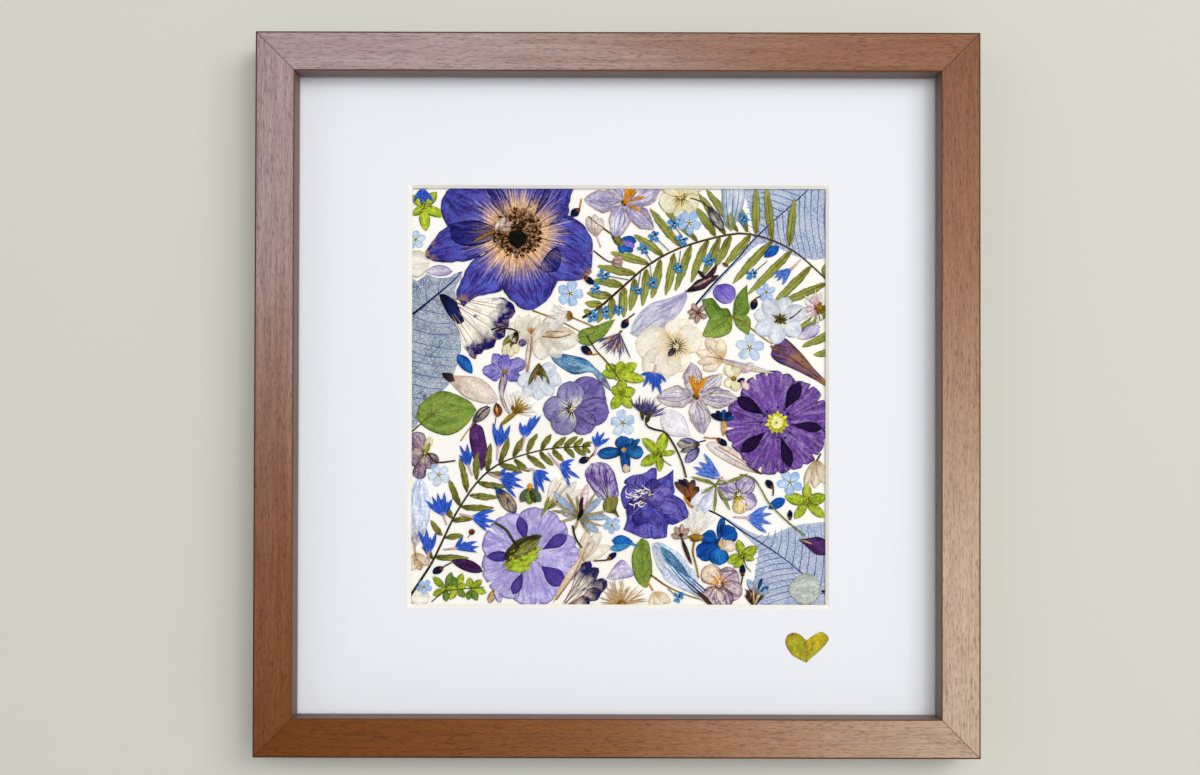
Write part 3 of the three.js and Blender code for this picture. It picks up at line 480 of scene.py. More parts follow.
def at(path, t):
    """Places at the shares t of an evenly spaced path."""
    grid = np.linspace(0, 1, len(path))
    return np.column_stack([np.interp(t, grid, path[:, i]) for i in (0, 1)])


def wiggle(count):
    """A random ragged line as a function of the share of the way along it."""
    tune = [rng.uniform(0, 6.3) for _ in range(3)]
    return lambda t: sum(g * np.sin(count * k * t + p) for g, k, p
        in zip((0.5, 0.35, 0.25), (0.45, 0.85, 1.3), tune))


class Specimen:
    """One pressed piece, put together from petals, leaves, stems and dots in one mesh."""

    def __init__(self, name, slot, layer, *nodes):
        self.name, self.slot_name, self.nodes = name, slot, nodes
        self.ground = 0.05 + layer * LAYER
        self.ceiling = CEILING
        self.parts = []

    def lay(self, material, place, lift, rows, cols, dome=0, wave=0.02, breadth=1, reach=1):
        """Lays a grid: place turns the shares across and along into places in the window."""
        bpy.ops.mesh.primitive_grid_add(x_subdivisions=cols, y_subdivisions=rows, size=1, calc_uvs=True)
        grid = bpy.context.object
        count = len(grid.data.vertices)
        co = np.zeros(count * 3)
        grid.data.vertices.foreach_get("co", co)
        s, t = co.reshape(-1, 3)[:, 0] + 0.5, co.reshape(-1, 3)[:, 1] + 0.5
        spot, side = place(s, t), 2 * s - 1
        phase = rng.uniform(0, 6.3)
        ripple = np.sin(9 * t + phase) * np.cos(3 * side + phase) * wave
        swell = dome * np.sqrt(np.clip(1 - side ** 2, 0, 1)) * np.sin(np.pi * t) ** 0.5
        height = self.ground + lift + swell
        height = np.clip(height + ripple * np.sin(np.pi * t), LOWEST, self.ceiling)
        co = np.column_stack([WINDOW_X + spot[:, 0] * MM, CARD_Y - height * MM, WINDOW_Z + spot[:, 1] * MM])
        grid.data.vertices.foreach_set("co", co.ravel())
        for key, value in (("tone", rng.random()), ("breadth", breadth), ("reach", reach)):
            note = grid.data.attributes.new(key, "FLOAT", "POINT")
            note.data.foreach_set("value", np.full(count, value, np.float32))
        grid.data.materials.append(finish(material))
        self.parts.append(grid)
        return self

    def span(self, material, left, right, lift, rows, cols, ragged=0.12, **shape):
        """Lays a grid between two edges that run from the base to the tip."""
        rough = [wiggle(rows), wiggle(rows)]

        def place(s, t):
            side = 2 * s - 1
            l, r = at(left, t), at(right, t)
            gap = np.maximum(np.hypot(*(r - l).T), 1e-6)
            grow = 1 + np.minimum(ragged, gap * 0.12) * np.where(side < 0, rough[0](t),
                rough[1](t)) / gap * 2
            return (l + r) / 2 + (r - l) * (side * grow)[:, None] / 2

        middle = (left + right) / 2
        breadth = float(np.mean(np.hypot(*(right - left).T)))
        reach = float(np.hypot(*np.diff(middle, axis=0).T).sum())
        return self.lay(material, place, lift, rows, cols, breadth=breadth, reach=reach, **shape)

    def sector(self, material, centre, angle, spread, radius, lift=0, rows=12, cols=20, drop=0.4, power=3,
            notches=(), inner=0.3, ragged=0.02, **shape):
        """A petal that spreads from the centre like a slice, with rounded corners and cut notches."""
        rough = wiggle(cols)

        def place(s, t):
            side = 2 * s - 1
            rim = radius * (1 - drop * np.abs(side) ** power + ragged * rough(s))
            for where, depth, width in notches:
                rim -= depth * np.exp(-((s - where) / width) ** 2)
            turn = np.radians(angle - side * spread)
            away = inner + t * (rim - inner)
            return np.column_stack([centre[0] + away * np.cos(turn), centre[1] + away * np.sin(turn)])

        breadth = radius * math.radians(spread) * 1.1
        return self.lay(material, place, lift, rows, cols, breadth=breadth, reach=radius, **shape)

    def petal(self, material, base, tip, width, lift=0, belly=0.55, full=0.6, neck=0, rows=10, cols=6,
            bend=0, **shape):
        """A symmetrical petal: widest at belly, full near 0.5 is round and near 1 is pointed."""
        base, tip = np.array(base, float), np.array(tip, float)
        reach = tip - base
        across = np.array([reach[1], -reach[0]]) / np.hypot(*reach)
        t = np.linspace(0, 1, 33)
        swell = np.sin(np.pi * t ** (math.log(0.5) / math.log(belly))) ** full
        half = width / 2 * np.maximum(swell, neck * (1 - t))
        spine = base + reach * t[:, None] + across * (bend * np.sin(np.pi * t))[:, None]
        left, right = spine - across * half[:, None], spine + across * half[:, None]
        return self.span(material, left, right, lift, rows, cols, **shape)

    def leaf(self, material, outline, tip, lift=0, rows=16, cols=8, **shape):
        """A leaf or petal from its outline: the first point is the base, number tip is the tip."""
        loop = np.array(outline, float)
        x, y = loop.T
        if np.sum(x * np.roll(y, -1) - y * np.roll(x, -1)) > 0:
            loop = np.vstack([loop[:1], loop[:0:-1]])
            tip = len(loop) - tip
        left, right = loop[:tip + 1], np.vstack([loop[:1], loop[:tip - 1:-1]])
        return self.span(material, smooth_path(left, 64), smooth_path(right, 64), lift, rows, cols, **shape)

    def stem(self, material, points, width, lift=0, taper=1, round_=0.5):
        """A stem, thread or vein along a list of places."""
        spine = smooth_path(points, 24 if len(points) > 2 else 6)
        ahead = np.gradient(spine, axis=0)
        across = np.column_stack([ahead[:, 1], -ahead[:, 0]]) / np.hypot(*ahead.T)[:, None]
        half = width / 2 * np.linspace(1, taper, len(spine))[:, None]
        rows = min(30, 3 * len(points))
        return self.span(material, spine - across * half, spine + across * half, lift, rows, 4, dome=width
            * round_ * 0.5, wave=0, ragged=0.05)

    def dot(self, material, place, radius, lift=0, dome=0.12):
        """A small round boss, eye or anther."""
        x, y = place
        return self.petal(material, (x, y - radius), (x, y + radius), 2 * radius, lift, belly=0.5, full=0.5,
            rows=6, dome=dome, wave=0, ragged=0.03)

    def done(self, skin=SKIN):
        """Joins the parts, merges their seams and gives them the thickness of a petal."""
        bpy.ops.object.select_all(action="DESELECT")
        for part in self.parts:
            part.select_set(True)
        bpy.context.view_layer.objects.active = self.parts[0]
        if len(self.parts) > 1:
            bpy.ops.object.join()
        piece = bpy.context.object
        piece.name = piece.data.name = self.name
        bpy.ops.object.mode_set(mode="EDIT")
        bpy.ops.mesh.select_all(action="SELECT")
        bpy.ops.mesh.remove_doubles(threshold=2e-6)
        bpy.ops.object.mode_set(mode="OBJECT")
        bpy.ops.object.shade_smooth()
        if skin:
            thick = piece.modifiers.new("skin", "SOLIDIFY")
            thick.thickness = skin * MM
            thick.offset = -1
            bpy.ops.object.modifier_apply(modifier="skin")
        bpy.ops.object.select_all(action="DESELECT")
        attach(piece, "root")
        if self.nodes:
            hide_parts(*self.nodes)
        return piece


def polar(centre, angle, radius):
    """The place that far from the centre, at that angle in degrees."""
    return (centre[0] + radius * math.cos(math.radians(angle)), centre[1] + radius
        * math.sin(math.radians(angle)))


def toward(a, b, share):
    """The place that share of the way from a to b."""
    return (a[0] + (b[0] - a[0]) * share, a[1] + (b[1] - a[1]) * share)


# ---------------------------------------------------------------- the large specimens
def anemone():
    a = Specimen("anemone_bloom", "violet_petal", 3, "anemone")
    heart, bed, boss = ANEMONE_HEART, (49.3, 174.2), (49.2, 171.6)
    back = dict(rows=54, cols=16, wave=0.06, ragged=0.45)
    # outline from the heart round the petal and back, number of the tip, lift
    petals = [([heart, (40, 168), (27, 161.5), (17, 160.4), (7.5, 161.5), (6, 165.5), (10, 171),
        (16.5, 177.5), (28, 180), (40, 179)], 5, 0.02), ([heart, (40, 178), (29, 175), (16.5, 177.3),
        (13.3, 187.5), (16, 194), (24, 199), (33, 200), (41, 196), (47, 184)], 5, 0.08),
        ([heart, (45, 182), (40, 190), (34, 199), (42, 204.5), (54, 205.5), (65, 201.5), (66, 192),
        (56, 181)], 5, 0.03), ([heart, (52, 183), (57, 192), (64, 201), (72, 203), (75.5, 196), (73.4, 188),
        (72.4, 181.8), (62, 177)], 4, 0.1), ([heart, (58, 182), (68, 184), (78, 180), (84.5, 171),
        (83.3, 164), (84, 157.5), (76, 158), (60, 167)], 5, 0),
        ([heart, (60, 172), (74, 168), (84, 158), (82, 153.3), (76, 151.8), (68, 152.3), (58, 159),
        (51, 167)], 4, 0.07), ([heart, (56, 168), (66, 158), (68, 151.5), (64, 143.5), (60, 140),
        (55.5, 137.8), (49.5, 140), (43, 147), (42.5, 158), (45, 167)], 5, 0.04),
        ([heart, (47, 166), (44.5, 155), (42.5, 148), (37, 145.5), (30, 144.2), (24, 139.3), (20.4, 146.2),
        (22.8, 151), (26.8, 159.8), (33, 164), (42, 170)], 6, 0.11)]
    for i, (outline, tip, lift) in enumerate(petals):
        a.leaf("anemone_torn" if i in (0, 4, 5, 7) else "anemone_petal", outline, tip, lift, **back)
    # double layers where neighbours lie over each other
    for outline, tip in [([(17, 178.5), (19, 170.5), (27, 168), (36, 170), (41, 176), (30, 180)], 4),
            ([(59.6, 157.5), (62.5, 163.5), (67.5, 167.5), (70.2, 164), (69, 158), (64.5, 155.5)], 3),
            ([(33, 198), (38, 188), (44, 181), (42, 190), (38, 198)], 2),
            ([(64, 200), (60, 190), (57, 182), (63, 189), (66.5, 198)], 2)]:
        a.leaf("anemone_overlap", outline, tip, 0.14, rows=14)
    for _ in range(60):
        angle, start = rng.uniform(0, 360), rng.uniform(10, 12)
        a.stem("anther_tan", [polar(heart, angle, start),
            polar(heart, angle + rng.uniform(-3, 3), start + rng.uniform(1, 4))], 0.22, 0.17, taper=0.2)
    a.dot("anther_bed", bed, 10.6, 0.18, dome=0.02)
    tones = ("anther_black", "anther_tan", "brown_pink", "anther_tan", "anther_black")
    for i in range(400):
        away = 11.6 * math.sqrt(rng.random())
        angle = rng.uniform(0, 360)
        spot = polar(bed, angle, away)
        if math.dist(spot, boss) < 4.6:
            continue
        a.petal(tones[i % 5], polar(spot, angle - 180, 1), polar(spot, angle + rng.uniform(-60, 60), 1),
            rng.uniform(0.9, 1.4), 0.24 + rng.uniform(0, 0.14), rows=3, cols=3, dome=0.1, wave=0)
    for i in range(26):
        angle = 360 * i / 26 + rng.uniform(-5, 5)
        a.stem("anther_black", [polar((49.3, 173), angle, 4.5),
            polar((49.3, 174), angle, rng.uniform(8, 10))], 0.3, 0.22)
    a.dot("boss_black", boss, 4.4, 0.22, dome=0.3)
    for i in range(80):
        spot = polar(boss, i * GOLDEN, 4.3 * math.sqrt((i + 0.5) / 80))
        a.dot("boss_black", spot, 0.4, 0.24 + 0.3 * (1 - i / 90), dome=0.1)
    a.done()


def primula(name, slot, layer, node, centre, radius, petals, body, overlap, wedges, eye, spread=41):
    """Primula: notched petals that overlap in dark wedges, and an eye in the middle."""
    p = Specimen(name, slot, layer, node)
    for i, (angle, notches) in enumerate(petals):
        cuts = [(0.5 + where / (2 * spread), depth, wide) for where, depth, wide in notches]
        p.sector(body, centre, angle, spread, radius, 0.02 * i, rows=16, cols=48, drop=0.16, power=3.2,
            notches=cuts, inner=1, wave=0.04, ragged=0.012)
    for angle, inner, outer, width in wedges:
        p.petal(overlap, polar(centre, angle, inner), polar(centre, angle, outer), width, 0.13, belly=0.62,
            full=0.8, rows=12)
    eye(p)
    p.done()


def purple_primula():
    centre = (171.3, 85.3)

    def eye(p):
        for i in range(30):
            spot = polar(centre, 360 * i / 30 + rng.uniform(-5, 5), rng.uniform(5.4, 8))
            p.dot("anemone_overlap" if i % 2 else "violet_round", spot, rng.uniform(0.3, 0.8), 0.16,
                dome=0.02)
        for i in range(14):
            p.petal("yellow_eye", centre, polar(centre, 26 * i + 9, 5 + 0.9 * (i % 2)), 2.2, 0.18, rows=6,
                cols=4, full=0.8, dome=0.02)
        p.dot("yellow_eye", centre, 3.7, 0.2, dome=0.05)
        for i in range(9):
            p.dot("pale_eye", polar(centre, 40 * i, 2.1), 0.8, 0.23, dome=0.05)
        p.dot("pale_eye", (171.6, 85.1), 1.6, 0.24, dome=0.06)
        p.dot("sepal_green", (171.2, 85.4), 0.7, 0.31, dome=0.04)

    shallow, deep = 0.018, 0.012
    primula("primula_purple_bloom", "purple_petal", 3, "primula_purple", centre, 24.6,
        [(104, [(2.3, 3.2, shallow), (-12, 3.4, deep), (21, 1.2, 0.03), (-25, 1, 0.03)]),
        (184, [(-2.7, 8.4, deep), (18, 1.2, 0.03), (-20, 1.4, 0.03)]),
        (253, [(2.5, 5.6, deep), (-18, 1.6, 0.025), (22, 1.2, 0.03)]),
        (320, [(1, 3.2, shallow), (-20, 1.2, 0.03), (17, 1.4, 0.03)]),
        (26.5, [(-20.5, 2.6, deep), (-2, 3, shallow), (18, 1.4, 0.03)])], "purple_primula",
        "purple_overlap", [(60, 7, 22, 6.5), (148, 7, 22.5, 6.5), (219.5, 7, 22, 6), (287, 7, 22, 5.6),
        (353, 7, 21.5, 5)], eye)


def lilac_primula():
    centre = (55.3, 22.3)

    def eye(p):
        for base, tip, width, material in [((44, 19), (60, 30.5), 7, "olive_calyx"),
                ((43, 21), (55, 32), 5, "stem_dark"), ((42.5, 18), (59, 22.5), 7, "sepal_green"),
                ((44, 16), (56, 17.4), 4, "sepal_green"), ((50, 18), (61, 27), 3.4, "sepal_green"),
                ((52, 30), (61.3, 32), 3, "stem_dark")]:
            p.petal(material, base, tip, width, 0.17, full=0.7, rows=14, dome=0.05, ragged=0.4)
        for i in range(26):
            spot = (rng.uniform(45, 59), rng.uniform(18, 26))
            p.petal("yellow_eye" if i % 3 else "sepal_green", spot,
                polar(spot, rng.uniform(0, 80), rng.uniform(1, 2.6)), 0.7, 0.25, rows=3, cols=3, full=0.9,
                dome=0.04)
        p.stem("stem_dark", [(50.5, 26), (47.5, 30), (45, 34), (42, 36.5), (39, 38)], 1.3, 0.26)

    narrow = 0.012
    primula("primula_lilac_bloom", "lilac_petal", 2, "primula_lilac", centre, 23.4,
        [(66, [(-4, 4.6, narrow), (16, 1, 0.03)]), (-5, [(3, 4.4, narrow), (-18, 1, 0.03)]),
        (-76, [(4, 4, narrow), (-18, 1.2, 0.025)]), (-146, [(0, 3.6, narrow), (18, 1, 0.03)]),
        (142, [(-3, 6.6, 0.018), (20, 1, 0.03)])], "lilac_primula", "lilac_overlap",
        [(104, 7, 19.5, 5.4), (29, 7, 20.5, 6), (-39, 7, 21, 8.5), (-113, 8, 19.5, 5), (180, 6, 20, 5)],
        eye)


def viola(name, slot, layer, nodes, lobes, eye, middle, whiskers=None, smudge=None, skin=SKIN):
    """Viola or pansy: round overlapping lobes that spring from the eye, dark whiskers round it."""
    v = Specimen(name, slot, layer, *nodes)
    for i, (x, y, radius, material) in enumerate(lobes):
        away = math.degrees(math.atan2(y - eye[1], x - eye[0]))
        tip = polar((x, y), away, radius)
        root = toward(eye, (x, y), 0.12)
        reach = math.dist(root, tip)
        v.petal(material, root, tip, radius * 2.02, 0.025 * i, belly=max(0.5, 1 - radius / reach * 0.98),
            full=0.5, neck=0.25, rows=16, cols=11, wave=0.035, ragged=0.25)
    if smudge:
        place, radius = smudge
        v.petal("smudge", toward(eye, place, 0.2), toward(eye, place, 1.6), 2 * radius, 0.17, rows=6,
            cols=5, ragged=0.3)
    if whiskers:
        start, end, near, far, count, width = whiskers
        for i in range(count):
            angle = start + (end - start) * i / count + rng.uniform(-4, 4)
            v.stem("whisker", [polar(eye, angle, near), polar(eye, angle + 4, far * rng.uniform(0.6, 1))],
                width, 0.19, taper=0.2)
    if middle:
        for i in range(9):
            spot = polar(eye, i * GOLDEN, 0.55 * math.sqrt(i))
            v.petal(middle if i % 3 else "pale_eye", spot, polar(spot, rng.uniform(0, 360), 1.1), 0.8, 0.22,
                rows=3, cols=3, dome=0.05)
    v.done(skin)


def brown_viola_calyx():
    """Green calyx, a cream petal and the stem beside the brown viola."""
    s = Specimen("viola_brown_calyx", "leaf", 4)
    s.petal("cream_petal", (6, 72), (9.5, 78.5), 3.4, 0).petal("sepal_green", (6.5, 70), (8.6, 76), 1.8,
        0.06)
    s.stem("stem_brown", [(7, 71), (11.5, 66.5), (20.5, 67.2)], 0.8, 0.03)
    s.done()


def larkspur():
    k = Specimen("larkspur_bloom", "violet_petal", 2, "larkspur_violet")
    petals = [([(108, 51), (101, 56), (98.2, 52), (98.5, 48), (100.5, 44.5), (106, 47)], 3, 0),
        ([(108, 52), (104, 55), (99.5, 57), (103, 60.3), (109, 61.5), (112.5, 64), (115, 63.4), (114, 56)],
        5, 0.03), ([(112, 52), (113, 57), (119.5, 60.5), (122.8, 63.3), (122.8, 57), (123, 52), (117, 50)],
        3, 0.05), ([(112, 50), (118, 53), (126.5, 49.5), (129, 45.5), (129.8, 41), (126, 39), (121.5, 37.3),
        (115, 43)], 5, 0.02), ([(110, 48), (115, 46), (120.5, 40), (120, 36), (119.3, 31), (115.5, 33),
        (113.2, 30.4), (110, 38)], 5, 0.06), ([(108, 48), (111, 42), (113, 32), (109, 31), (103, 33.5),
        (99.3, 35), (101, 40), (101, 45)], 5, 0.09)]
    for outline, tip, lift in petals:
        k.leaf("larkspur", outline, tip, lift, cols=10, wave=0.05)
    heart = (110, 49)
    for i, (angle, reach, width) in enumerate([(20, 13, 9), (62, 11, 8), (105, 12, 8), (150, 10, 8),
            (250, 13, 9), (300, 14, 9), (345, 16, 9), (215, 11, 8), (275, 9, 7), (5, 9, 7)]):
        k.petal(("larkspur_light", "larkspur_deep", "larkspur")[i % 3], polar(heart, angle + 180, 1),
            polar(heart, angle, reach), width, 0.1 + 0.012 * i, belly=0.6, rows=18, cols=9, wave=0.06,
            ragged=0.5)
    for i in range(26):
        spot = (rng.uniform(100, 111), rng.uniform(46.5, 54.5))
        angle = rng.choice((0, 20, 150, 200, 340)) + rng.uniform(-25, 25)
        k.stem("crumpled_cream", [spot, polar(spot, angle, 1.4),
            polar(spot, angle + rng.uniform(-40, 40), 3)], rng.uniform(0.35, 0.7), 0.25, taper=0.5)
    for i in range(12):
        spot = (rng.uniform(106, 113), rng.uniform(46, 53))
        k.petal("golden", spot, polar(spot, rng.uniform(0, 180), 1.5), 0.9, 0.28, rows=3, cols=3, dome=0.06)
    for i in range(8):
        spot = polar(heart, 45 * i + rng.uniform(-12, 12), rng.uniform(3, 6))
        k.stem("vein_violet", [spot, polar(spot, 45 * i, rng.uniform(4, 8))], 0.35, 0.24, taper=0.4)
    k.done()


def star_flower(name, node, layer, centre, blades, material, stamens):
    """Dried star flower: crinkled translucent petals with brown edges, thick orange stamens."""
    s = Specimen(name, "beige_petal", layer, node)
    for i, (angle, length, width) in enumerate(blades):
        s.petal(material, polar(centre, angle + 180, 1.5), polar(centre, angle, length), width, 0.012 * i,
            belly=0.54, full=0.82, rows=26, cols=9, wave=0.06, ragged=0.5)
        for side in (-0.26, 0.02, 0.28):
            turn = angle + math.degrees(side) * width / length * 1.6
            s.stem("fold_brown" if side > 0.1 else "fold_lilac",
                [polar(centre, angle, 2.5), polar(centre, turn, length * 0.5),
                polar(centre, angle + side * 12, length * 0.88)], 0.42, 0.07, taper=0.4)
    for i in range(12):
        s.petal("sepal_green" if i % 4 == 0 else "stem_brown", centre, polar(centre, 30 * i, 1.9), 0.8, 0.1,
            rows=3, cols=3)
    for tip in stamens:
        s.petal("orange_tip", centre, toward(centre, tip, 1.12), 1.5, 0.13, belly=0.72, neck=0.5, cols=4,
            dome=0.06)
    s.done(0)


def frond(name, node, rib, upper, lower, width, material, stem_width, layer=2):
    """Fern frond: scalloped leaflets on both sides of an arching rib."""
    f = Specimen(name, "fern", layer, node)
    for i, (a, b, c, d) in enumerate(upper + lower):
        length = math.dist((a, b), (c, d))
        teeth = max(4, round(length / 1.2))
        f.petal(material, (a, b), (c, d), width * min(1, 0.6 + length / 30), 0.012 * (i % 3), belly=0.45,
            full=0.56, rows=2 * teeth, cols=4, wave=0.03, bend=rng.uniform(-0.5, 0.5), ragged=0.22)
        f.stem("fern_vein", [(a, b), toward((a, b), (c, d), 0.85)], 0.34, 0.05 + 0.012 * (i % 3), taper=0.3)
    f.stem(stem_width[1], rib, stem_width[0], 0.08, taper=0.5)
    f.done()


def comb(start, end, count):
    """Side veins: curved lines from one run of places to another."""
    a, b = smooth_path(start, 60), smooth_path(end, 60)
    lines = []
    for share in np.linspace(0.03, 0.97, count):
        p, q = at(a, [share])[0], at(b, [share])[0]
        lean = np.array([q[1] - p[1], p[0] - q[0]]) * 0.05
        lines.append([p, (p + q) / 2 + lean, q])
    return lines


def skeleton_leaf(name, node, outline, tip, midrib, veins, material, rib_width):
    """Skeleton leaf: a see-through net with side veins and a midrib on it."""
    s = Specimen(name, "skeleton_leaf", 1, node)
    s.leaf(material, outline, tip, 0, rows=28, cols=16)
    for line in veins:
        s.stem("vein_blue", line, 0.36, 0.03, taper=0.6)
    s.stem("midrib_navy", midrib, rib_width, 0.05, taper=0.5)
    s.done(0)


def fan_flowers():
    f = Specimen("fan_flower_left_bloom", "cream_petal", 2, "fan_flower_left")
    base = (14, 144.5)
    for i, (tip, width) in enumerate([((29.8, 114.8), 3.6), ((32.5, 117.3), 7.5), ((38.3, 120.5), 8.5),
            ((43.5, 125.5), 7.5), ((46, 139.7), 6), ((45.5, 130.5), 8), ((48.5, 137), 8)]):
        f.petal("fan_cream", base, tip, width * 1.1, 0.02 * i, belly=0.85, rows=30, cols=8, wave=0.04,
            ragged=0.6)
        f.stem("rib_tan", [toward(base, tip, 0.2), toward(base, tip, 0.84)], 0.5, 0.14, taper=0.5)
    f.leaf("navy", [(12.7, 145.2), (13.5, 142), (17.5, 135), (22, 131), (24.5, 133), (22, 138.5),
        (20, 142.3), (15.2, 145.4)], 4, 0.14, rows=10, cols=6, dome=0.1)
    f.stem("navy", [(37, 128.5), (41, 130), (44.5, 130.5)], 0.9, 0.17, taper=0.4)
    f.dot("teal_petal", (29.5, 135), 0.9, 0.18)
    f.done()
    g = Specimen("fan_flower_low_bloom", "beige_petal", 3, "fan_flower_low")
    base = (69.5, -2.5)
    for i, (tip, width) in enumerate([((83.8, 20.5), 5), ((87.8, 17), 6), ((91.8, 11), 7), ((89, 6.5), 6),
            ((84, 2.6), 5)]):
        g.petal("fan_brown", base, tip, width, 0.03 * i, belly=0.82, rows=24, wave=0.05, ragged=0.6)
        g.stem("fold_brown", [toward(base, tip, 0.15), toward(base, tip, 0.7)], 0.5, 0.14, taper=0.5)
    g.done()


def long_flowers():
    t = Specimen("trumpet_bloom", "lilac_petal", 3, "trumpet_flower")
    t.leaf("trumpet_lilac", [(128.3, 148), (127.5, 146.5), (120, 143.5), (113, 141.5), (108, 138),
        (104, 132.5), (102.3, 127.3), (106, 125.5), (111, 128), (117, 131), (123, 134), (127, 139),
        (129.3, 144.5)], 6, 0, rows=20, cols=10, dome=0.08)
    for tip, width in [((103, 127), 9), ((110, 128), 8), ((107, 135), 7)]:
        t.petal("trumpet_lilac", (122, 139.5), tip, width, 0.05, belly=0.62, full=0.7)
    t.petal("calyx_maroon", (128.4, 146.6), (144.2, 154.6), 4.4, 0.12, belly=0.5, full=0.7, rows=14,
        dome=0.12, ragged=0.4)
    t.petal("calyx_maroon", (136, 151), (143.2, 159.8), 2.6, 0.14, dome=0.1, bend=0.6, ragged=0.3)
    t.petal("calyx_maroon", (138, 152.4), (134.2, 156.8), 1.8, 0.16, dome=0.08, ragged=0.3)
    t.petal("brown_pink", (131, 148.6), (141, 153.6), 1.4, 0.24, dome=0.05)
    t.done()
    b = Specimen("bell_bloom", "pale_blue_petal", 3, "bell_flower")
    b.leaf("bell_blue", [(149.5, 175.6), (147, 178), (145.8, 183), (145.3, 190), (145.7, 198), (151, 198.5),
        (156.3, 198), (156, 190), (155, 186), (152.5, 181), (151.3, 177.3)], 5, 0, dome=0.1)
    for run in ([(149, 177), (147.6, 186), (147.4, 198)], [(150, 177), (150.4, 188), (150.6, 198)],
            [(150.5, 178), (152.8, 188), (153.6, 198)]):
        b.stem("vein_blue", run, 0.4, 0.1, taper=0.6)
    b.petal("fern_green", (149.8, 175.2), (149.4, 184), 3.4, 0.1, full=0.8, dome=0.04)
    b.done()
    w = Specimen("twisted_bloom", "brown_petal", 2, "twisted_flower")
    w.leaf("twisted_violet", [(168.5, 118), (169.8, 121.5), (172, 123.3), (172.5, 126.3), (175.5, 125),
        (180, 121), (185, 115.5), (189, 110.5), (197, 102.4), (194, 102.5), (190, 105), (184, 108.2),
        (178, 111), (172, 113.5), (168.5, 116.5)], 8, 0, rows=18, dome=0.15)
    for run, wide in [([(171, 119), (178, 116), (186, 111), (195, 103)], 0.9),
            ([(170, 121), (177, 119.5), (184, 114), (190, 108)], 0.6),
            ([(171, 117), (179, 113.6), (187, 108.6)], 0.5)]:
        w.stem("fold_brown" if wide < 0.8 else "twisted_orange", run, wide, 0.16, taper=0.4)
    w.petal("twisted_violet", (176, 117), (168, 121.5), 3.4, 0.12, full=0.9, ragged=0.4)
    w.done()
    h = Specimen("harebell_bloom", "lilac_petal", 3, "harebell")
    h.leaf("harebell_tube", [(94, 47), (87, 51), (82.5, 58), (81.5, 62), (84, 66), (89, 66.5), (94, 64),
        (96, 58), (97, 51)], 4, 0, rows=26, cols=10, ragged=0.4)
    for tip, width in [((82.2, 61.5), 5), ((85, 66), 5.5), ((88.8, 66.8), 5), ((93, 64), 5),
            ((95.4, 59), 4)]:
        h.petal("harebell_tube", (93, 47.5), tip, width, 0.05, belly=0.66, full=0.7, rows=18, wave=0.05,
            ragged=0.35)
    for tip in ((84, 62), (87.5, 63.5), (91, 63)):
        h.stem("purple_overlap", [(92.4, 49), tip], 0.4, 0.12, taper=0.5)
    h.leaf("olive_calyx", [(96, 42.3), (91, 43.3), (89.8, 45), (90, 47.5), (91.5, 50.5), (95, 50.5),
        (97, 49.5), (96, 44.5), (97, 41.9)], 4, 0.1, dome=0.12)
    h.stem("stem_olive", [(93.5, 44.5), (97.3, 41)], 0.8, 0.14)
    h.done()
    s = Specimen("spurred_bloom", "lilac_petal", 3, "spurred_flower")
    for tip, width in [((33, 110), 6.5), ((38, 117.5), 5.5), ((43.5, 117.5), 6), ((52.8, 114.3), 7),
            ((51.2, 105.5), 5.5), ((36, 106.5), 5)]:
        s.petal("spurred_lilac", (43.5, 108.5), tip, width, 0.03, belly=0.6, rows=16, cols=7, wave=0.07,
            ragged=0.6)
    s.stem("pale_pink", [(43, 107), (42, 99), (43.5, 93), (46, 89.5)], 2.4, 0.1, taper=0.45)
    s.leaf("spurred_lilac", [(43, 110), (40.8, 103), (41.5, 98), (43.5, 92.5), (43.8, 92), (43.4, 95),
        (43.3, 99), (45, 106)], 4, 0.08, dome=0.12)
    s.dot("golden", (43.5, 109), 1.3, 0.18).stem("stem_brown", [(43, 108), (42.3, 99), (45, 91)], 0.5, 0.18)
    s.done()
    y = Specimen("lily_blue_bloom", "pale_blue_petal", 3, "lily_flower_blue")
    y.leaf("lily_blue", [(142.5, -1.5), (140.5, 2), (137, 6), (134, 9), (132.7, 13.5), (130.5, 17.5),
        (127, 22), (123, 25.5), (118.5, 28.3), (115, 29.2), (112.8, 28.3), (113.7, 23), (115.3, 18),
        (118, 14), (121.5, 10.3), (126, 7.5), (132, 5), (137, 1.5)], 9, 0, rows=22, cols=12, dome=0.05)
    for tip, width in [((113.3, 28), 7), ((121, 26.5), 6.5), ((130, 17.5), 5), ((117.5, 14.8), 5)]:
        y.petal("lily_blue", (134, 6), tip, width, 0.05, belly=0.62, full=0.7, rows=12, cols=5, wave=0.03)
    y.petal("lily_core", (131, 12), (116.5, 27), 4.6, 0.1, belly=0.6, full=0.7, wave=0.03)
    for shift, wide, material in [(-1.4, 0.6, "lily_core"), (-0.5, 1, "lily_core"), (0.4, 0.5, "vein_blue"),
            (1.3, 0.6, "lily_core")]:
        y.stem(material, [(137 + shift, 5 + shift), (127 + shift, 14 + shift),
            (118.5 + shift, 24.5 + shift)], wide, 0.14, taper=0.5, round_=0.1)
    y.petal("stem_brown", (142, -1.5), (133.5, 7), 2.2, 0.12, dome=0.1)
    y.done()


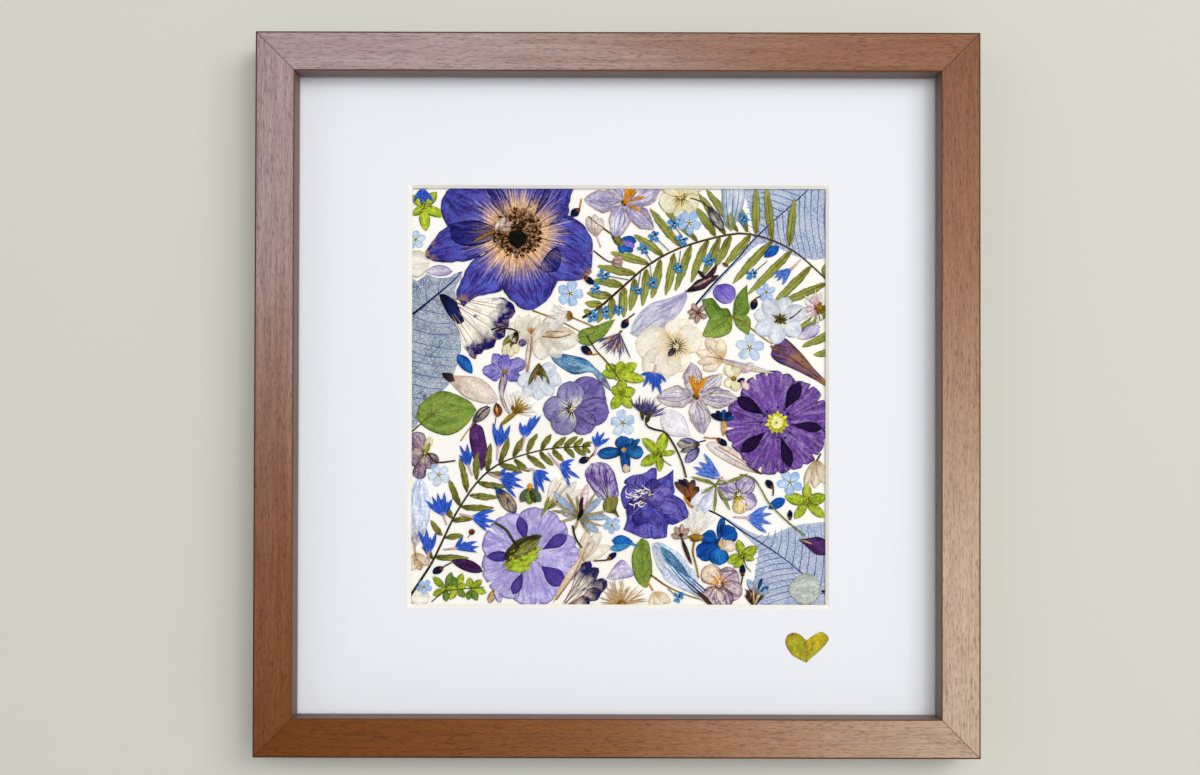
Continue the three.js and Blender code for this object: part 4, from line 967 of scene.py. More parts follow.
def delphiniums():
    d = Specimen("delphinium_bright_bloom", "blue_petal", 2, "delphinium_bright")
    for i, (x, y, r) in enumerate([(148.5, 33, 4.4), (139.8, 31, 3.8), (137.7, 24.8, 4.4),
            (144.2, 22.8, 4.5)]):
        away = math.degrees(math.atan2(y - 28.5, x - 144))
        d.petal("bright_blue", (143.8, 28.3), polar((x, y), away, r), 2.1 * r, 0.025 * i, belly=0.62,
            full=0.55, cols=7, wave=0.04)
    d.petal("bright_blue", (144, 30), (146.2, 41.3), 4, 0.05, full=0.7).petal("cream_petal", (143.5, 28.4),
        (152.8, 26.8), 5.4, 0.12, wave=0.08)
    d.petal("dark_blue", (145, 33), (146.4, 41.2), 1.6, 0.12)
    for i in range(6):
        d.stem("cream_petal", [(144, 28.5), polar((144, 28.5), -60 + 24 * i, 3.5)], 0.6, 0.18)
    d.done()
    k = Specimen("delphinium_dark_bloom", "blue_petal", 3, "delphinium_dark")
    for base, tip, width in [((100, 71.5), (86.9, 70.5), 5.8), ((100, 71.5), (108.8, 71.2), 6.5),
            ((100, 71.5), (98, 79), 7), ((101, 72), (103.8, 77.8), 5.2), ((102, 73), (107, 77.6), 2.6)]:
        k.petal("dark_blue", base, tip, width, 0.04, belly=0.6, full=0.55, wave=0.05)
    k.leaf("dark_blue", [(100, 74), (97.3, 73), (98.6, 64), (99.5, 61.8), (102.5, 62.2), (102.5, 70),
        (101.5, 73)], 4, 0.09, dome=0.12)
    k.petal("cream_petal", (100, 66), (101.2, 61.7), 3.6, 0.16, dome=0.06).dot("stem_tan", (99.5, 72.5),
        1.2, 0.2)
    k.done()


def single_petal(name, slot, layer, node, material, outline, tip, calyx=()):
    """One loose petal, with the dark bits of calyx at its base (base, tip, width, lift)."""
    s = Specimen(name, slot, layer, node)
    s.leaf(material, outline, tip, 0, rows=18, cols=9, wave=0.05)
    for low, high, width, lift in calyx:
        s.petal("calyx_maroon", low, high, width, lift, dome=0.1)
    s.done()


def leaf_piece(name, node, layer, parts, stem=None, side_veins=()):
    """Leaf blades with a stem and side veins."""
    s = Specimen(name, "leaf", layer, *([node] if node else []))
    for material, outline, tip in parts:
        s.leaf(material, outline, tip, 0, rows=20, cols=10, wave=0.03, dome=0.03)
    for line in side_veins:
        s.stem("fern_green", line, 0.35, 0.05, taper=0.4)
    if stem:
        s.stem(stem[0], stem[1], stem[2], 0.08, taper=0.7)
    s.done()


def heart_leaf():
    """The two-lobed leaflet, which lies on the mat inside its own solid."""
    h = Specimen("heart_leaflet", "leaf", 0, "heart_leaf")
    h.ground = (CARD_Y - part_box("heart_leaf")[0].y) / MM - 0.13
    h.ceiling = h.ground + 0.3
    u, v = 184.9, -26.9     # the point of the heart; the lobes are drawn from there
    notch, low = (u, v + 10.5), (u, v)
    middle = smooth_path([notch, low], 48)
    left = [(-2.8, 13.1), (-5.7, 14.1), (-8.6, 13), (-9.9, 10.1), (-8.9, 6.8), (-6.6, 3.6), (-3.4, 1.8)]
    right = [(3.9, 13.2), (6.9, 14.6), (9.2, 13.4), (10.5, 11.2), (8.9, 8.6), (5.7, 5.1), (2.2, 2.2)]
    rims = [smooth_path([notch] + [(u + x, v + y) for x, y in side] + [low], 48) for side in (left, right)]
    h.span("heart_green", middle, rims[0], 0, 22, 8, wave=0)
    h.span("heart_green", rims[1], middle, 0, 22, 8, wave=0)
    h.stem("stem_tan", [notch, (u - 0.1, v + 0.6)], 0.5, 0.07, taper=0.4)
    h.done()


def green_flower(name, nodes, layer, centre, tips, stem=None, anthers=0):
    """Green hellebore-like flower: one petal to each tip (x, y and width), a few anthers."""
    g = Specimen(name, "leaf", layer, *nodes)
    for i, (x, y, width) in enumerate(tips):
        g.petal("sepal_green", toward(centre, (x, y), -0.1), (x, y), width * 1.1, 0.02 * i, full=0.7,
            dome=0.03, wave=0.04)
    if stem:
        g.stem("stem_olive", stem, 0.6, 0.12, taper=0.6)
    for i in range(anthers):
        g.dot("stem_brown", polar(centre, i * GOLDEN, 0.55 * math.sqrt(i + 1)), 0.36, 0.16, dome=0.08)
    g.done()


def green_pair():
    """Two green flowers on one stem."""
    g = Specimen("green_pair_blooms", "leaf", 3, "green_flower_pair")
    for tips, centre in [([(91, 112.5), (89, 108.5), (98.5, 114.2), (105.7, 113), (109.5, 104.9),
            (98, 105)], (97, 108)), ([(93.8, 91.4), (93.8, 102), (103.2, 91.8), (105, 100.5), (98.5, 106)],
            (98.5, 98.8))]:
        for i, tip in enumerate(tips):
            g.petal("sepal_green", toward(centre, tip, -0.15), tip, 5.2, 0.02 * i, full=0.75, dome=0.03)
        for i in range(12):
            g.dot("stem_gold", polar(centre, i * GOLDEN, 0.5 * math.sqrt(i + 1)), 0.32, 0.16, dome=0.08)
    g.stem("stem_olive", [(82, 126), (86.5, 119), (91.5, 113.5), (98, 104.5)], 0.7, 0.16)
    g.done()


def green_sprig():
    """Sprig of three small green flowers."""
    sprig = Specimen("green_sprig", "leaf", 2)
    for centre, tips in [((16, 7), [(10, 12.8), (19, 15), (10, 4), (16.5, 1), (21, 8)]),
            ((21.5, 7.5), [(24, 14.5), (19, 13), (18, 2), (25, 3), (26, 9)]),
            ((28, 7), [(33.3, 11.3), (26.5, 1.8), (35.3, 5.3), (31, 1.5), (27, 12.5)])]:
        for i, tip in enumerate(tips):
            sprig.petal("leaf_dark" if i % 2 else "sepal_green", centre, tip, 3.4, 0.03 * i, full=0.75,
                rows=8, cols=4)
    sprig.stem("stem_olive", [(9.5, 1), (16, 6), (24, 7), (34, 8)], 0.5, 0.16)
    sprig.done()


# ---------------------------------------------------------------- the small specimens
# base, tips of the teeth, end of the stem, layer
CORNFLOWERS = [((4.5, 196), [(0.7, 188.3), (4, 187.3), (6.2, 187.5), (9.7, 188.5)], (4.8, 199), 4),
    ((40.5, 72.5), [(38, 85.3), (42, 85.5), (46.3, 84.2)], (40, 67.5), 4),
    ((52.8, 77.5), [(50.7, 85.5), (56, 88), (58.5, 89), (60.8, 88.8)], (51.5, 72), 4),
    ((113.8, 109.3), [(107, 107.7), (108.5, 101.8), (113, 99.3), (117, 98), (119.5, 104)], (114.5, 112.5),
    5), ((86.5, 73), [(84.8, 79), (87.3, 81.3), (90.5, 81), (93, 78)], (85.5, 69.5), 4),
    ((27, 64), [(22.2, 70), (22.5, 74.5), (26, 75.5), (28.5, 72)], (28.5, 60.3), 4),
    ((15.5, 40.5), [(6.5, 48.8), (9.5, 50.7), (12.2, 52.2), (15.5, 52.5), (19.3, 49.5)], (16.5, 37), 4),
    ((27.5, 41), [(39.3, 44), (39.8, 38.8), (37.5, 35.8), (35.5, 34)], (22.5, 42.3), 4),
    ((40.5, 59.5), [(44.5, 63.8), (51.5, 61.7), (52, 58), (53, 54.3), (49.3, 49.8)], (36, 61.3), 4),
    ((57, 63), [(64.5, 61.2), (65.7, 57.3), (62.3, 52), (59.5, 51.3)], (53, 63.3), 4),
    ((68.5, 65.5), [(76.5, 67.8), (75, 65.5), (79.3, 58.8), (74.7, 54)], (64, 71), 4),
    ((145.5, 58.7), [(137, 71), (134.5, 67), (132, 64.7), (133, 61.8)], (149, 57.5), 5),
    ((156.5, 40.8), [(167.5, 46.5), (169.3, 42.7), (169, 37.8), (166.8, 33.5)], (151, 41), 4),
    ((8, 22.5), [(3.2, 34.3), (7, 35.3), (11.5, 33.8)], (8.5, 18), 3),
    ((20, 26), [(24.3, 31.8), (31, 29.3), (32, 27), (31, 24.2)], (15, 25.5), 4),
    ((178.5, 158), [(169, 155.3), (169.8, 153.3), (171.2, 151.7), (173.8, 149.8)], (182.5, 162), 5)]
PALE_CORNFLOWERS = {11, 12, 15}      # rows of the faded ones

# centre, radius, pale, layer
FORGET_ME_NOTS = [((74, 145.7), 6.3, False, 2), ((166.3, 146.5), 4.4, False, 4),
    ((158.5, 120.5), 6.7, True, 2), ((99, 85), 6.3, True, 2), ((12.7, 60.5), 5.7, True, 3),
    ((177.5, 57.3), 6, False, 2), ((94, 37), 4.2, False, 4), ((130, 179), 5.7, False, 4),
    ((125.5, 180.5), 2.6, False, 4), ((6, 8), 3.7, False, 3), ((1.5, 171), 4.5, True, 1)]

# centre, stem
THREAD_FLOWERS = [((108.5, 166.5), [(112.5, 160.5)]), ((113.3, 173), [(120.5, 166)]),
    ((90, 154.3), [(101.5, 152.3)]), ((86.3, 147.8), [(93.5, 144.5)]), ((84.5, 134.8), []),
    ((90.3, 137), []), ((97, 138.3), [(97.5, 146.5)]), ((105.7, 147.3), [(107.3, 156)]),
    ((112.5, 150.5), [(111.8, 159)]), ((122.5, 178.3), [(127, 172.5)]), ((126.5, 171), []),
    ((155.2, 181), [(157.3, 175)]), ((139.5, 161.3), [(143.5, 172)]), ((125, 158), [(126, 166)]),
    ((159.8, 155.3), [(161.5, 156.8), (166.8, 161.3)]), ((125.3, 3), [(120.3, 7.5)])]

# centre, angle, length, width, stem, layer
BUDS = [((76.5, 184), 40, 5.5, 3, [(79.3, 190.5)], 4), ((83, 152), -33, 6, 3, [], 4),
    ((82, 119), -35, 6.5, 3, [(87.5, 117.5)], 4), ((100, 131.8), 60, 5.5, 2.8, [(104.5, 136.5)], 3),
    ((160.5, 141), 75, 5.5, 2.8, [(164, 145)], 4), ((81, 67.7), 20, 5.5, 2.6, [(86.5, 72)], 4),
    ((145.5, 76.3), -35, 6, 3, [(140, 78), (137, 78.5)], 4), ((168, 56.3), -50, 5.5, 2.6, [(169.5, 51)], 4),
    ((177.5, 42), 90, 5, 2.4, [], 4), ((12.7, 16), 30, 6, 2.8, [(19.3, 19.7)], 4),
    ((94, 22.5), 40, 5.5, 2.8, [(85.5, 20.3)], 4), ((155.3, 16), 90, 6, 2.8, [(154.5, 9)], 4)]


def cornflowers():
    for pale in (False, True):
        c = Specimen("cornflower_florets_pale" if pale else "cornflower_florets", "blue_petal", 0,
            *([] if pale else ["small_flower_bed"]))
        for i, (base, tips, end, layer) in enumerate(CORNFLOWERS):
            if (i in PALE_CORNFLOWERS) != pale:
                continue
            body = "cornflower_pale" if pale else "cornflower"
            ground = layer * LAYER
            middle = (sum(t[0] for t in tips) / len(tips), sum(t[1] for t in tips) / len(tips))
            reach = math.dist(base, middle)
            c.petal(body, toward(base, middle, -0.08), toward(base, middle, 0.52), reach * 0.36, ground,
                belly=0.72, full=0.8, neck=0.2, rows=12, dome=0.05)
            teeth = tips + [toward(a, b, 0.5) for a, b in zip(tips, tips[1:])]
            for k, tip in enumerate(teeth):
                end_of = tip if k < len(tips) else toward(base, tip, 0.74)
                c.petal(body, toward(base, tip, 0.03), end_of, max(1.6, reach * 0.17), ground + 0.02 + 0.012
                    * k, belly=0.58, full=1.05, neck=0.15, rows=12, cols=4, wave=0.04,
                    bend=rng.uniform(-0.5, 0.5))
            c.stem("stem_pink", [toward(base, middle, 0.14), base, end], 1.2, ground + 0.05, taper=0.6)
        c.done()


def forget_me_nots():
    for pale in (False, True):
        f = Specimen("forget_me_nots_pale" if pale else "forget_me_nots", "pale_blue_petal", 0)
        for centre, radius, faded, layer in FORGET_ME_NOTS:
            if faded != pale:
                continue
            turn = rng.uniform(0, 72)
            ground = layer * LAYER
            for i in range(5):
                f.sector("forget_pale" if faded else "forget_blue", centre, turn + 72 * i
                    + rng.uniform(-3, 3), rng.uniform(32, 37), radius * rng.uniform(0.93, 1.04), ground
                    + 0.02 * i, rows=8, cols=14, drop=0.42, power=2.6, ragged=0.06, wave=0.03)
            for i in range(10):
                f.petal("stem_brown" if i % 2 else "pale_eye", polar(centre, turn + 36 * i, 0.3),
                    polar(centre, turn + 36 * i, radius * 0.24), 0.5, ground + 0.12, rows=3, cols=3)
            f.dot("golden", centre, 0.45, ground + 0.15, dome=0.05)
        f.done(0)


def thread_flowers():
    t = Specimen("thread_stem_flowers", "pale_blue_petal", 0)
    for centre, run in THREAD_FLOWERS:
        turn = rng.uniform(0, 72)
        ground = 5 * LAYER
        if run:
            t.stem("stem_grey", [centre] + run, 0.42, ground)
        for i in range(5):
            angle = turn + 72 * i + rng.uniform(-14, 14)
            t.sector("thread_blue", centre, angle, rng.uniform(24, 36), rng.uniform(2.1, 3.5), ground
                + 0.015 * i, rows=5, cols=8, drop=0.45, power=2.4, ragged=0.07)
        t.petal("bright_blue", centre, polar(centre, turn, 1.8), 0.9, ground + 0.1, rows=4, cols=4)
        for i in range(4):
            t.dot("pale_eye" if i % 2 else "navy", polar(centre, 90 * i + turn, 0.7), 0.28, ground + 0.12,
                dome=0.03)
    t.done()


def buds():
    b = Specimen("navy_buds", "blue_petal", 0)
    for centre, angle, length, width, run, layer in BUDS:
        ground = layer * LAYER
        base, tip = polar(centre, angle + 180, length / 2), polar(centre, angle, length / 2)
        if run:
            base, tip = (base, tip) if math.dist(base, run[0]) < math.dist(tip, run[0]) else (tip, base)
            b.stem("orange_tip" if width == 3 else "stem_rust", [base] + run, 0.7, ground + 0.02)
        b.petal("bud_navy", base, tip, width, ground + 0.03, full=0.7, dome=0.14)
        for side in (-1, 1):
            b.petal("bud_navy", base, polar(tip, angle + 90 * side, 0.4), width * 0.45, ground + 0.12,
                rows=8, cols=3, dome=0.05, bend=0.35 * side * width)
        b.petal("bud_brown", base, toward(base, tip, 0.38), width * 0.7, ground + 0.16, dome=0.05, rows=5,
            cols=4)
    for place, end in [((40, 91), (39, 83.5)), ((28.3, 33.8), (26.5, 31))]:
        b.dot("bud_brown", place, 1.5, 4 * LAYER, dome=0.2).stem("stem_brown", [place, end], 0.4, 4 * LAYER)
    b.done()


def fan(material, base, *tips, width=None):
    """Petals from one base; each tip is x, y and the width, unless they share a width."""
    return [("p", material, base, tip[:2], width or tip[2]) for tip in tips]


def small_flower(name, slot, layer, *parts):
    """A loose petal, dried floret or odd stem, from its parts.

    p is a petal (finish, base, tip, width), s a stem (finish, points, width), d a dot (finish,
    place, radius), o an outline (finish, points, number of the tip) and r a spray of rays
    (finish, base, first and last angle, count, shortest, longest, width).
    """
    s = Specimen(name, slot, layer)
    for i, (kind, material, *facts) in enumerate(parts):
        lift = 0.16 * i / len(parts)
        if kind == "p":
            base, tip, width = facts
            s.petal(material, base, tip, width, lift, full=0.62, cols=6 if width > 2.5 else 3, dome=0.04,
                wave=0.05, bend=rng.uniform(-0.04, 0.04) * math.dist(base, tip))
        elif kind == "s":
            s.stem(material, facts[0], facts[1], lift)
        elif kind == "r":
            base, start, end, count, near, far, width = facts
            for k in range(count):
                angle = start + (end - start) * k / (count - 1) + rng.uniform(-4, 4)
                reach = rng.uniform(near, far)
                s.petal(material, base, polar(base, angle, reach), width, lift + rng.uniform(0, 0.06),
                    full=0.8, rows=7, cols=2, bend=rng.uniform(-0.07, 0.07) * reach, ragged=0.05)
        elif kind == "d":
            s.dot(material, facts[0], facts[1], lift + 0.05)
        else:
            s.leaf(material, facts[0], facts[1], lift)
    s.done()


# ---------------------------------------------------------------- the frame round the flowers
RAIL_FRONT = (-0.019, -0.02)      # depths between which the edge lines of a rail set in, m
OUTER_HALF = (HALF - 0.003, HALF - 0.002)           # from here on an edge is the outer one
BORDER_LINE = (HALF - 0.0009, HALF - 0.0006)        # the dark line along it, on the face
RECESS = (HALF - 0.015, HALF - 0.017)               # the inner walls lie inside this
MAT_BAND = (mat_low.y - 0.0042, mat_low.y - 0.0036)     # their paler band next to the mat
MITRE_LINE = (0.00012, 0.00035)                     # soft half width of the mitre lines, m
EDGE_BROWN = "4a2812"


def wood(name, along, tones):
    """Satin wood-grain face of one rail: short fine dashes along it, and painted sheen in tones from one
    end to the other.
    """
    f = Finish(name, roughness=0.5, specular=0.2)
    x, y, z = f.split(f.place)
    level = along == "x"
    warped = f.warp(9, 0.004)

    def grain(length, width, detail):
        """Noise with marks of that length and width in metres."""
        long_way, short_way = 1 / length, 1 / width
        scale = (long_way, short_way, short_way) if level else (short_way, short_way, long_way)
        return f.noise(f.scaled(warped, scale), 1, detail, 0.6)

    figure, broad, fine = grain(0.11, 0.0042, 3), grain(0.022, 0.0009, 3), grain(0.0036, 0.00034, 2)
    # painted sheen: a run of tones from one end of the rail to the other paints the light's reflection on
    # it, pale grey in the top left of the frame, pale tan in the lower right, deep brown between
    start, end = (-HALF, HALF) if level else (CENTRE_Z + HALF, CENTRE_Z - HALF)
    way = f.between(x if level else z, start, end)
    way = f.plus(way, f.times(f.minus(figure, 0.5), 0.25))
    shade = f.ramp(way, list(zip((0.02, 0.3, 0.5, 0.72, 0.98), tones)))
    tints = [
        (f.between(figure, 0.38, 0.7, 0, 0.5), "dcd0cc"),
        (f.between(broad, 0.42, 0.66, 0, 0.5), "cfc4c8"),
        (f.between(fine, 0.52, 0.64, 0, 0.7), "aaa0a2"),
        (f.between(fine, 0.47, 0.36, 0, 0.7), "f8e6da"),
    ]
    for share, tint in tints:
        shade = f.mix(share, shade, tint, "MULTIPLY")
    light = f.plus(0.965, f.between(fine, 0.46, 0.32, 0, 0.16))
    shade = f.mix(1, shade, f.join(light, light, light), "MULTIPLY")
    # the arrises: a thin dark-brown line on the outer and the inner edge
    normal = f.split(f.node("NewGeometry").outputs["Normal"])
    face = f.math("ABSOLUTE", normal[1])
    slant = f.times(f.between(face, 0.55, 0.65), f.between(face, 0.8, 0.75))
    slant = f.times(slant, f.between(y, *RAIL_FRONT))
    edge_x, edge_z = f.math("ABSOLUTE", x), f.math("ABSOLUTE", f.minus(z, CENTRE_Z))
    far = f.math("MAXIMUM", edge_x, edge_z)
    outer = f.between(far, *OUTER_HALF)
    shade = f.mix(slant, shade, f.mix(outer, "6c3c1c", EDGE_BROWN))
    border = f.times(f.between(face, 0.8, 0.9), f.between(far, *BORDER_LINE))
    border = f.times(border, f.between(y, *RAIL_FRONT, 0, 0.85))
    shade = f.mix(border, shade, EDGE_BROWN)
    # the walls of the recess: grey-brown, with a paler band next to the mat
    wall = f.times(f.between(face, 0.5, 0.4), f.between(far, *RECESS))
    band = f.between(y, *MAT_BAND)
    wall_shade = f.mix(band, "6e5c54", "968880")
    wall_shade = f.mix(f.between(broad, 0.4, 0.65, 0, 0.4), wall_shade, "5a4c4a")
    shade = f.mix(f.times(wall, 0.85), shade, wall_shade)
    # a dark hairline where the mitres meet
    mitre = f.math("ABSOLUTE", f.minus(edge_x, edge_z))
    shade = f.mix(f.between(mitre, *MITRE_LINE, 0.85, 0), shade, "3c2c24")
    f.colour(shade)
    f.bump(f.plus(broad, f.times(fine, 1.4)), 0.00008, 0.5)
    return f.material


def board_finishes():
    """Finishes of the mat with its pale bevel, of the card and of the brown backing board."""
    f = Finish("mat_white", roughness=0.9, specular=0.12)
    x, y, z = f.split(f.place)
    tooth = f.noise(f.place, 2400, 3, 0.7)
    shade = f.mix(f.between(tooth, 0.3, 0.7), "eaecf2", "f0f2f7")
    low_x, high_x = WINDOW_X - BEVEL * MM, WINDOW_X + (WINDOW[0] + BEVEL) * MM
    low_z, high_z = WINDOW_Z - BEVEL * MM, WINDOW_Z + (WINDOW[1] + BEVEL) * MM
    inside = f.times(f.between(x, low_x - 1e-4, low_x), f.between(x, high_x + 1e-4, high_x))
    inside = f.times(inside, f.between(z, low_z - 1e-4, low_z))
    inside = f.times(inside, f.between(z, high_z + 1e-4, high_z))
    f.colour(f.mix(inside, shade, "fffcf2"))
    f.bump(tooth, 0.00002, 0.5)
    mat = f.material
    f = Finish("card_white", roughness=0.92, specular=0.1)
    tooth = f.noise(f.place, 1300, 4, 0.7)
    cloud = f.noise(f.place, 30, 2)
    shade = f.mix(f.between(tooth, 0.3, 0.7), "fbf8f0", "fffdf8")
    f.colour(f.mix(f.between(cloud, 0.4, 0.7, 0, 0.35), shade, "f8f2e4"))
    f.bump(tooth, 0.00003, 0.5)
    card = f.material
    f = Finish("kraft_board", roughness=0.85, specular=0.15)
    fibre = f.noise(f.scaled(f.place, (1, 1, 6)), 420, 5, 0.7)
    speck = f.noise(f.place, 1700, 2, 0.6)
    shade = f.mix(f.between(fibre, 0.35, 0.65), "8a6a45", "a98558")
    f.colour(f.mix(f.between(speck, 0.62, 0.7, 0, 0.6), shade, "5c4227"))
    f.bump(f.plus(fibre, speck), 0.00005, 0.6)
    kraft = f.material
    return mat, card, kraft


def metal_finish():
    """Brushed zinc of the tabs, the hanger and its nails."""
    f = Finish("zinc_plate", roughness=0.34, specular=0.5)
    f.shader.inputs["Metallic"].default_value = 1
    brushed = f.noise(f.scaled(f.place, (60, 400, 900)), 1, 3, 0.6)
    cloud = f.noise(f.place, 160, 3)
    shade = f.mix(f.between(brushed, 0.3, 0.7), "a9adb2", "c9cccf")
    f.colour(f.mix(f.between(cloud, 0.5, 0.7, 0, 0.4), shade, "d2c9a8"))
    f.bump(brushed, 0.00002, 0.4)
    return f.material


def felt_finish():
    f = Finish("grey_felt", roughness=0.95, specular=0.1)
    fuzz = f.noise(f.place, 3200, 4, 0.8)
    f.colour(f.mix(f.between(fuzz, 0.3, 0.7), "2c2a29", "5a5653"))
    f.bump(fuzz, 0.0002, 0.9)
    return f.material


def glass_finish():
    f = Finish("clear_glass", roughness=0.03, specular=0.5)
    f.colour("1c2624")
    f.alpha(0.03)
    return f.material


def dress(node, material):
    """Gives a solid of the frame its finish."""
    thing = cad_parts[node]
    thing.data.materials.clear()
    thing.data.materials.append(material)


def frame_pieces():
    """Finishes of the moulding, boards, glass and fittings; each rail has its own run of tones, a painted
    sheen of the light.
    """
    # painted sheen: each run of five tones paints the light's reflection across the frame, grey at the top
    # left and tan at the lower right
    dress("top_rail", wood("wood_top", "x", ("ac9b9c", "b09e9c", "a88d86", "976f59", "906447")))
    dress("bottom_rail", wood("wood_bottom", "x", ("713e13", "824f28", "8e5f3c", "ad896d", "c3ab94")))
    dress("left_stile", wood("wood_left", "z", ("ab9999", "a6918e", "987667", "86593e", "76461f")))
    dress("right_stile", wood("wood_right", "z", ("865c40", "9c7456", "b09076", "c8b099", "ccb6a0")))
    mat, card, kraft = board_finishes()
    dress("mat_board", mat)
    dress("flower_card", card)
    dress("backing_board", kraft)
    dress("glass", glass_finish())
    zinc = metal_finish()
    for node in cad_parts:
        if node.startswith(("retaining_tab", "sawtooth", "hanger_nail")):
            dress(node, zinc)
    felt = felt_finish()
    dress("bumper_left", felt)
    dress("bumper_right", felt)


# ---------------------------------------------------------------- camera, wall and light
WALL_Y = 0.0035         # just behind the felt bumpers


def studio():
    """Camera square to the frame from a little below its middle, a painted wall and soft lamps."""
    eye = Vector((-0.0079, FRONT_Y - 0.7632, CENTRE_Z - 0.024))
    bpy.ops.object.camera_add(location=eye, rotation=(math.radians(90) + 0.0115, -0.0023, 0))
    camera = bpy.context.object
    camera.name = "camera"
    camera.data.lens = 50
    camera.data.sensor_width = 36
    camera.data.shift_y = 0.0333
    camera.data.clip_start = 0.01
    bpy.context.scene.camera = camera

    bpy.ops.mesh.primitive_plane_add(size=6, location=(0, WALL_Y, CENTRE_Z),
        rotation=(math.radians(90), 0, 0))
    wall = bpy.context.object
    wall.name = "wall"
    f = Finish("wall_paint", roughness=0.95, specular=0.1)
    f.colour("cacac0")
    through = f.node("BsdfTransparent")
    facing = f.node("NewGeometry").outputs["Backfacing"]
    blend = f.node("MixShader")
    f.put(facing, blend.inputs[0])
    f.tree.links.new(f.shader.outputs[0], blend.inputs[1])
    f.tree.links.new(through.outputs[0], blend.inputs[2])
    f.tree.links.new(blend.outputs[0], f.tree.nodes["Material Output"].inputs["Surface"])
    wall.data.materials.append(f.material)
    wall.visible_shadow = False
    wall.visible_diffuse = False
    wall.visible_glossy = False

    world = bpy.data.worlds.new("room") if bpy.context.scene.world is None else bpy.context.scene.world
    bpy.context.scene.world = world
    world.use_nodes = True
    world.node_tree.nodes["Background"].inputs[0].default_value = (1, 0.994, 0.98, 1)
    world.node_tree.nodes["Background"].inputs[1].default_value = 0.34
    bpy.context.scene.view_settings.view_transform = "Standard"

    # name, place, size in metres, power in watts; all of them aim at the middle of the frame
    lamps = [
        ("key", (1.1, -1.9, 0.5), 1, 17),
        ("fill", (-1.4, -1.6, 0.1), 1.4, 3),
        ("front", (0.35, -2.5, 0.1), 1.3, 35),
        ("back_light", (-0.7, 1.5, 0.6), 1.2, 9),
    ]
    aim = Vector((0, 0, CENTRE_Z))
    for name, place, size, power in lamps:
        bpy.ops.object.light_add(type="AREA", location=place)
        lamp = bpy.context.object
        lamp.name = name
        lamp.data.size = size
        lamp.data.energy = power
        lamp.visible_glossy = name != "front"
        lamp.rotation_euler = (aim - Vector(place)).to_track_quat("-Z", "Y").to_euler()


# ---------------------------------------------------------------- the scene, piece by piece
studio()
frame_pieces()
anemone()
purple_primula()
lilac_primula()
viola("viola_mauve_bloom", "purple_petal", 3, ["viola_mauve"],
    [(86, 95, 5.6, "viola_purple"), (82.4, 98.6, 8.4, "viola_purple"), (86, 90.5, 6.6, "viola_purple"),
    (80.4, 85.2, 6, "viola_purple"), (74.6, 98.2, 6.5, "viola_grey"), (67.6, 91.3, 6.2, "viola_grey"),
    (71.3, 85.4, 6.3, "viola_grey")], (75.3, 91.3), "orange_tip", whiskers=(90, 290, 1.2, 7.5, 15, 0.5))
viola("cream_pansy_bloom", "cream_petal", 4, ["cream_pansy"],
    [(125.8, 126, 8.4, "pansy_cream"), (130.3, 124.5, 6.6, "pansy_cream"), (113.5, 122, 8.6, "pansy_cream"),
    (116, 112.7, 8.1, "pansy_cream"), (125.4, 114.6, 5.6, "pansy_cream"), (120, 113.5, 6.5, "pansy_cream")],
    (124, 121), "golden", whiskers=(0, 360, 1.6, 6.4, 18, 0.5), smudge=((121.6, 118), 1.5))
viola("yellow_pansy_bloom", "cream_petal", 3, ["yellow_pansy"],
    [(121.5, 189, 5.6, "pansy_yellow"), (122, 197, 5.2, "pansy_yellow"), (129, 195.4, 6, "pansy_yellow"),
    (130, 188.5, 4.6, "pansy_yellow"), (127.5, 184, 4.9, "pansy_yellow")], (126, 191.5), "orange_tip",
    whiskers=(180, 400, 1.4, 5, 12, 0.45))
viola("viola_rose_bloom", "lilac_petal", 2, ["viola_rose"],
    [(148.5, 12.3, 5.4, "rose_lilac"), (140.5, 14, 4.9, "rose_cream"), (150.5, 6.5, 4.9, "rose_lilac"),
    (142, 4, 5.2, "rose_lilac"), (146.5, 3, 4.6, "rose_lilac")], (144.2, 9.4), "orange_tip",
    whiskers=(-160, 60, 1.4, 4.8, 14, 0.42))
viola("viola_pale_bloom", "beige_petal", 2, ["viola_pale"],
    [(148.5, 53.3, 4.9, "pale_lilac"), (156.5, 56, 4.7, "pale_lilac"), (157.8, 48.5, 4.3, "pale_lilac"),
    (154, 46, 3.6, "pale_lip")], (153.4, 51.6), "yellow_eye", whiskers=(60, 340, 1, 4.4, 14, 0.36))
viola("viola_brown_bloom", "lilac_petal", 2, ["viola_brown"],
    [(2.3, 76.5, 4.4, "brown_lilac"), (2.5, 69, 4.8, "brown_lilac"), (9, 67, 3.8, "brown_lilac"),
    (3.6, 61.7, 3.3, "brown_lilac")], (6.5, 71), "golden", whiskers=(150, 330, 1, 4, 8, 0.34))
brown_viola_calyx()
larkspur()
star_flower("star_lilac_bloom", "star_flower_lilac", 4, (99.5, 188.5),
    [(175, 19, 10.5), (-105, 17, 10), (-42, 18.7, 9), (25, 19.7, 11.5), (110, 17, 10)], "star_grey",
    [(100.5, 195), (101.8, 195.4), (103.3, 195), (104.5, 194), (108.3, 191.2), (106.8, 184.8)])
star_flower("star_beige_bloom", "star_flower_beige", 5, (133.3, 97.5),
    [(181, 18.7, 10.2), (98, 16.2, 9.2), (40, 16.7, 7.6), (-3, 19.7, 9.6), (-78, 18, 9.6)], "star_beige",
    [(130.2, 106.5), (131.8, 107), (134, 105), (136, 105.5), (137.8, 106)])
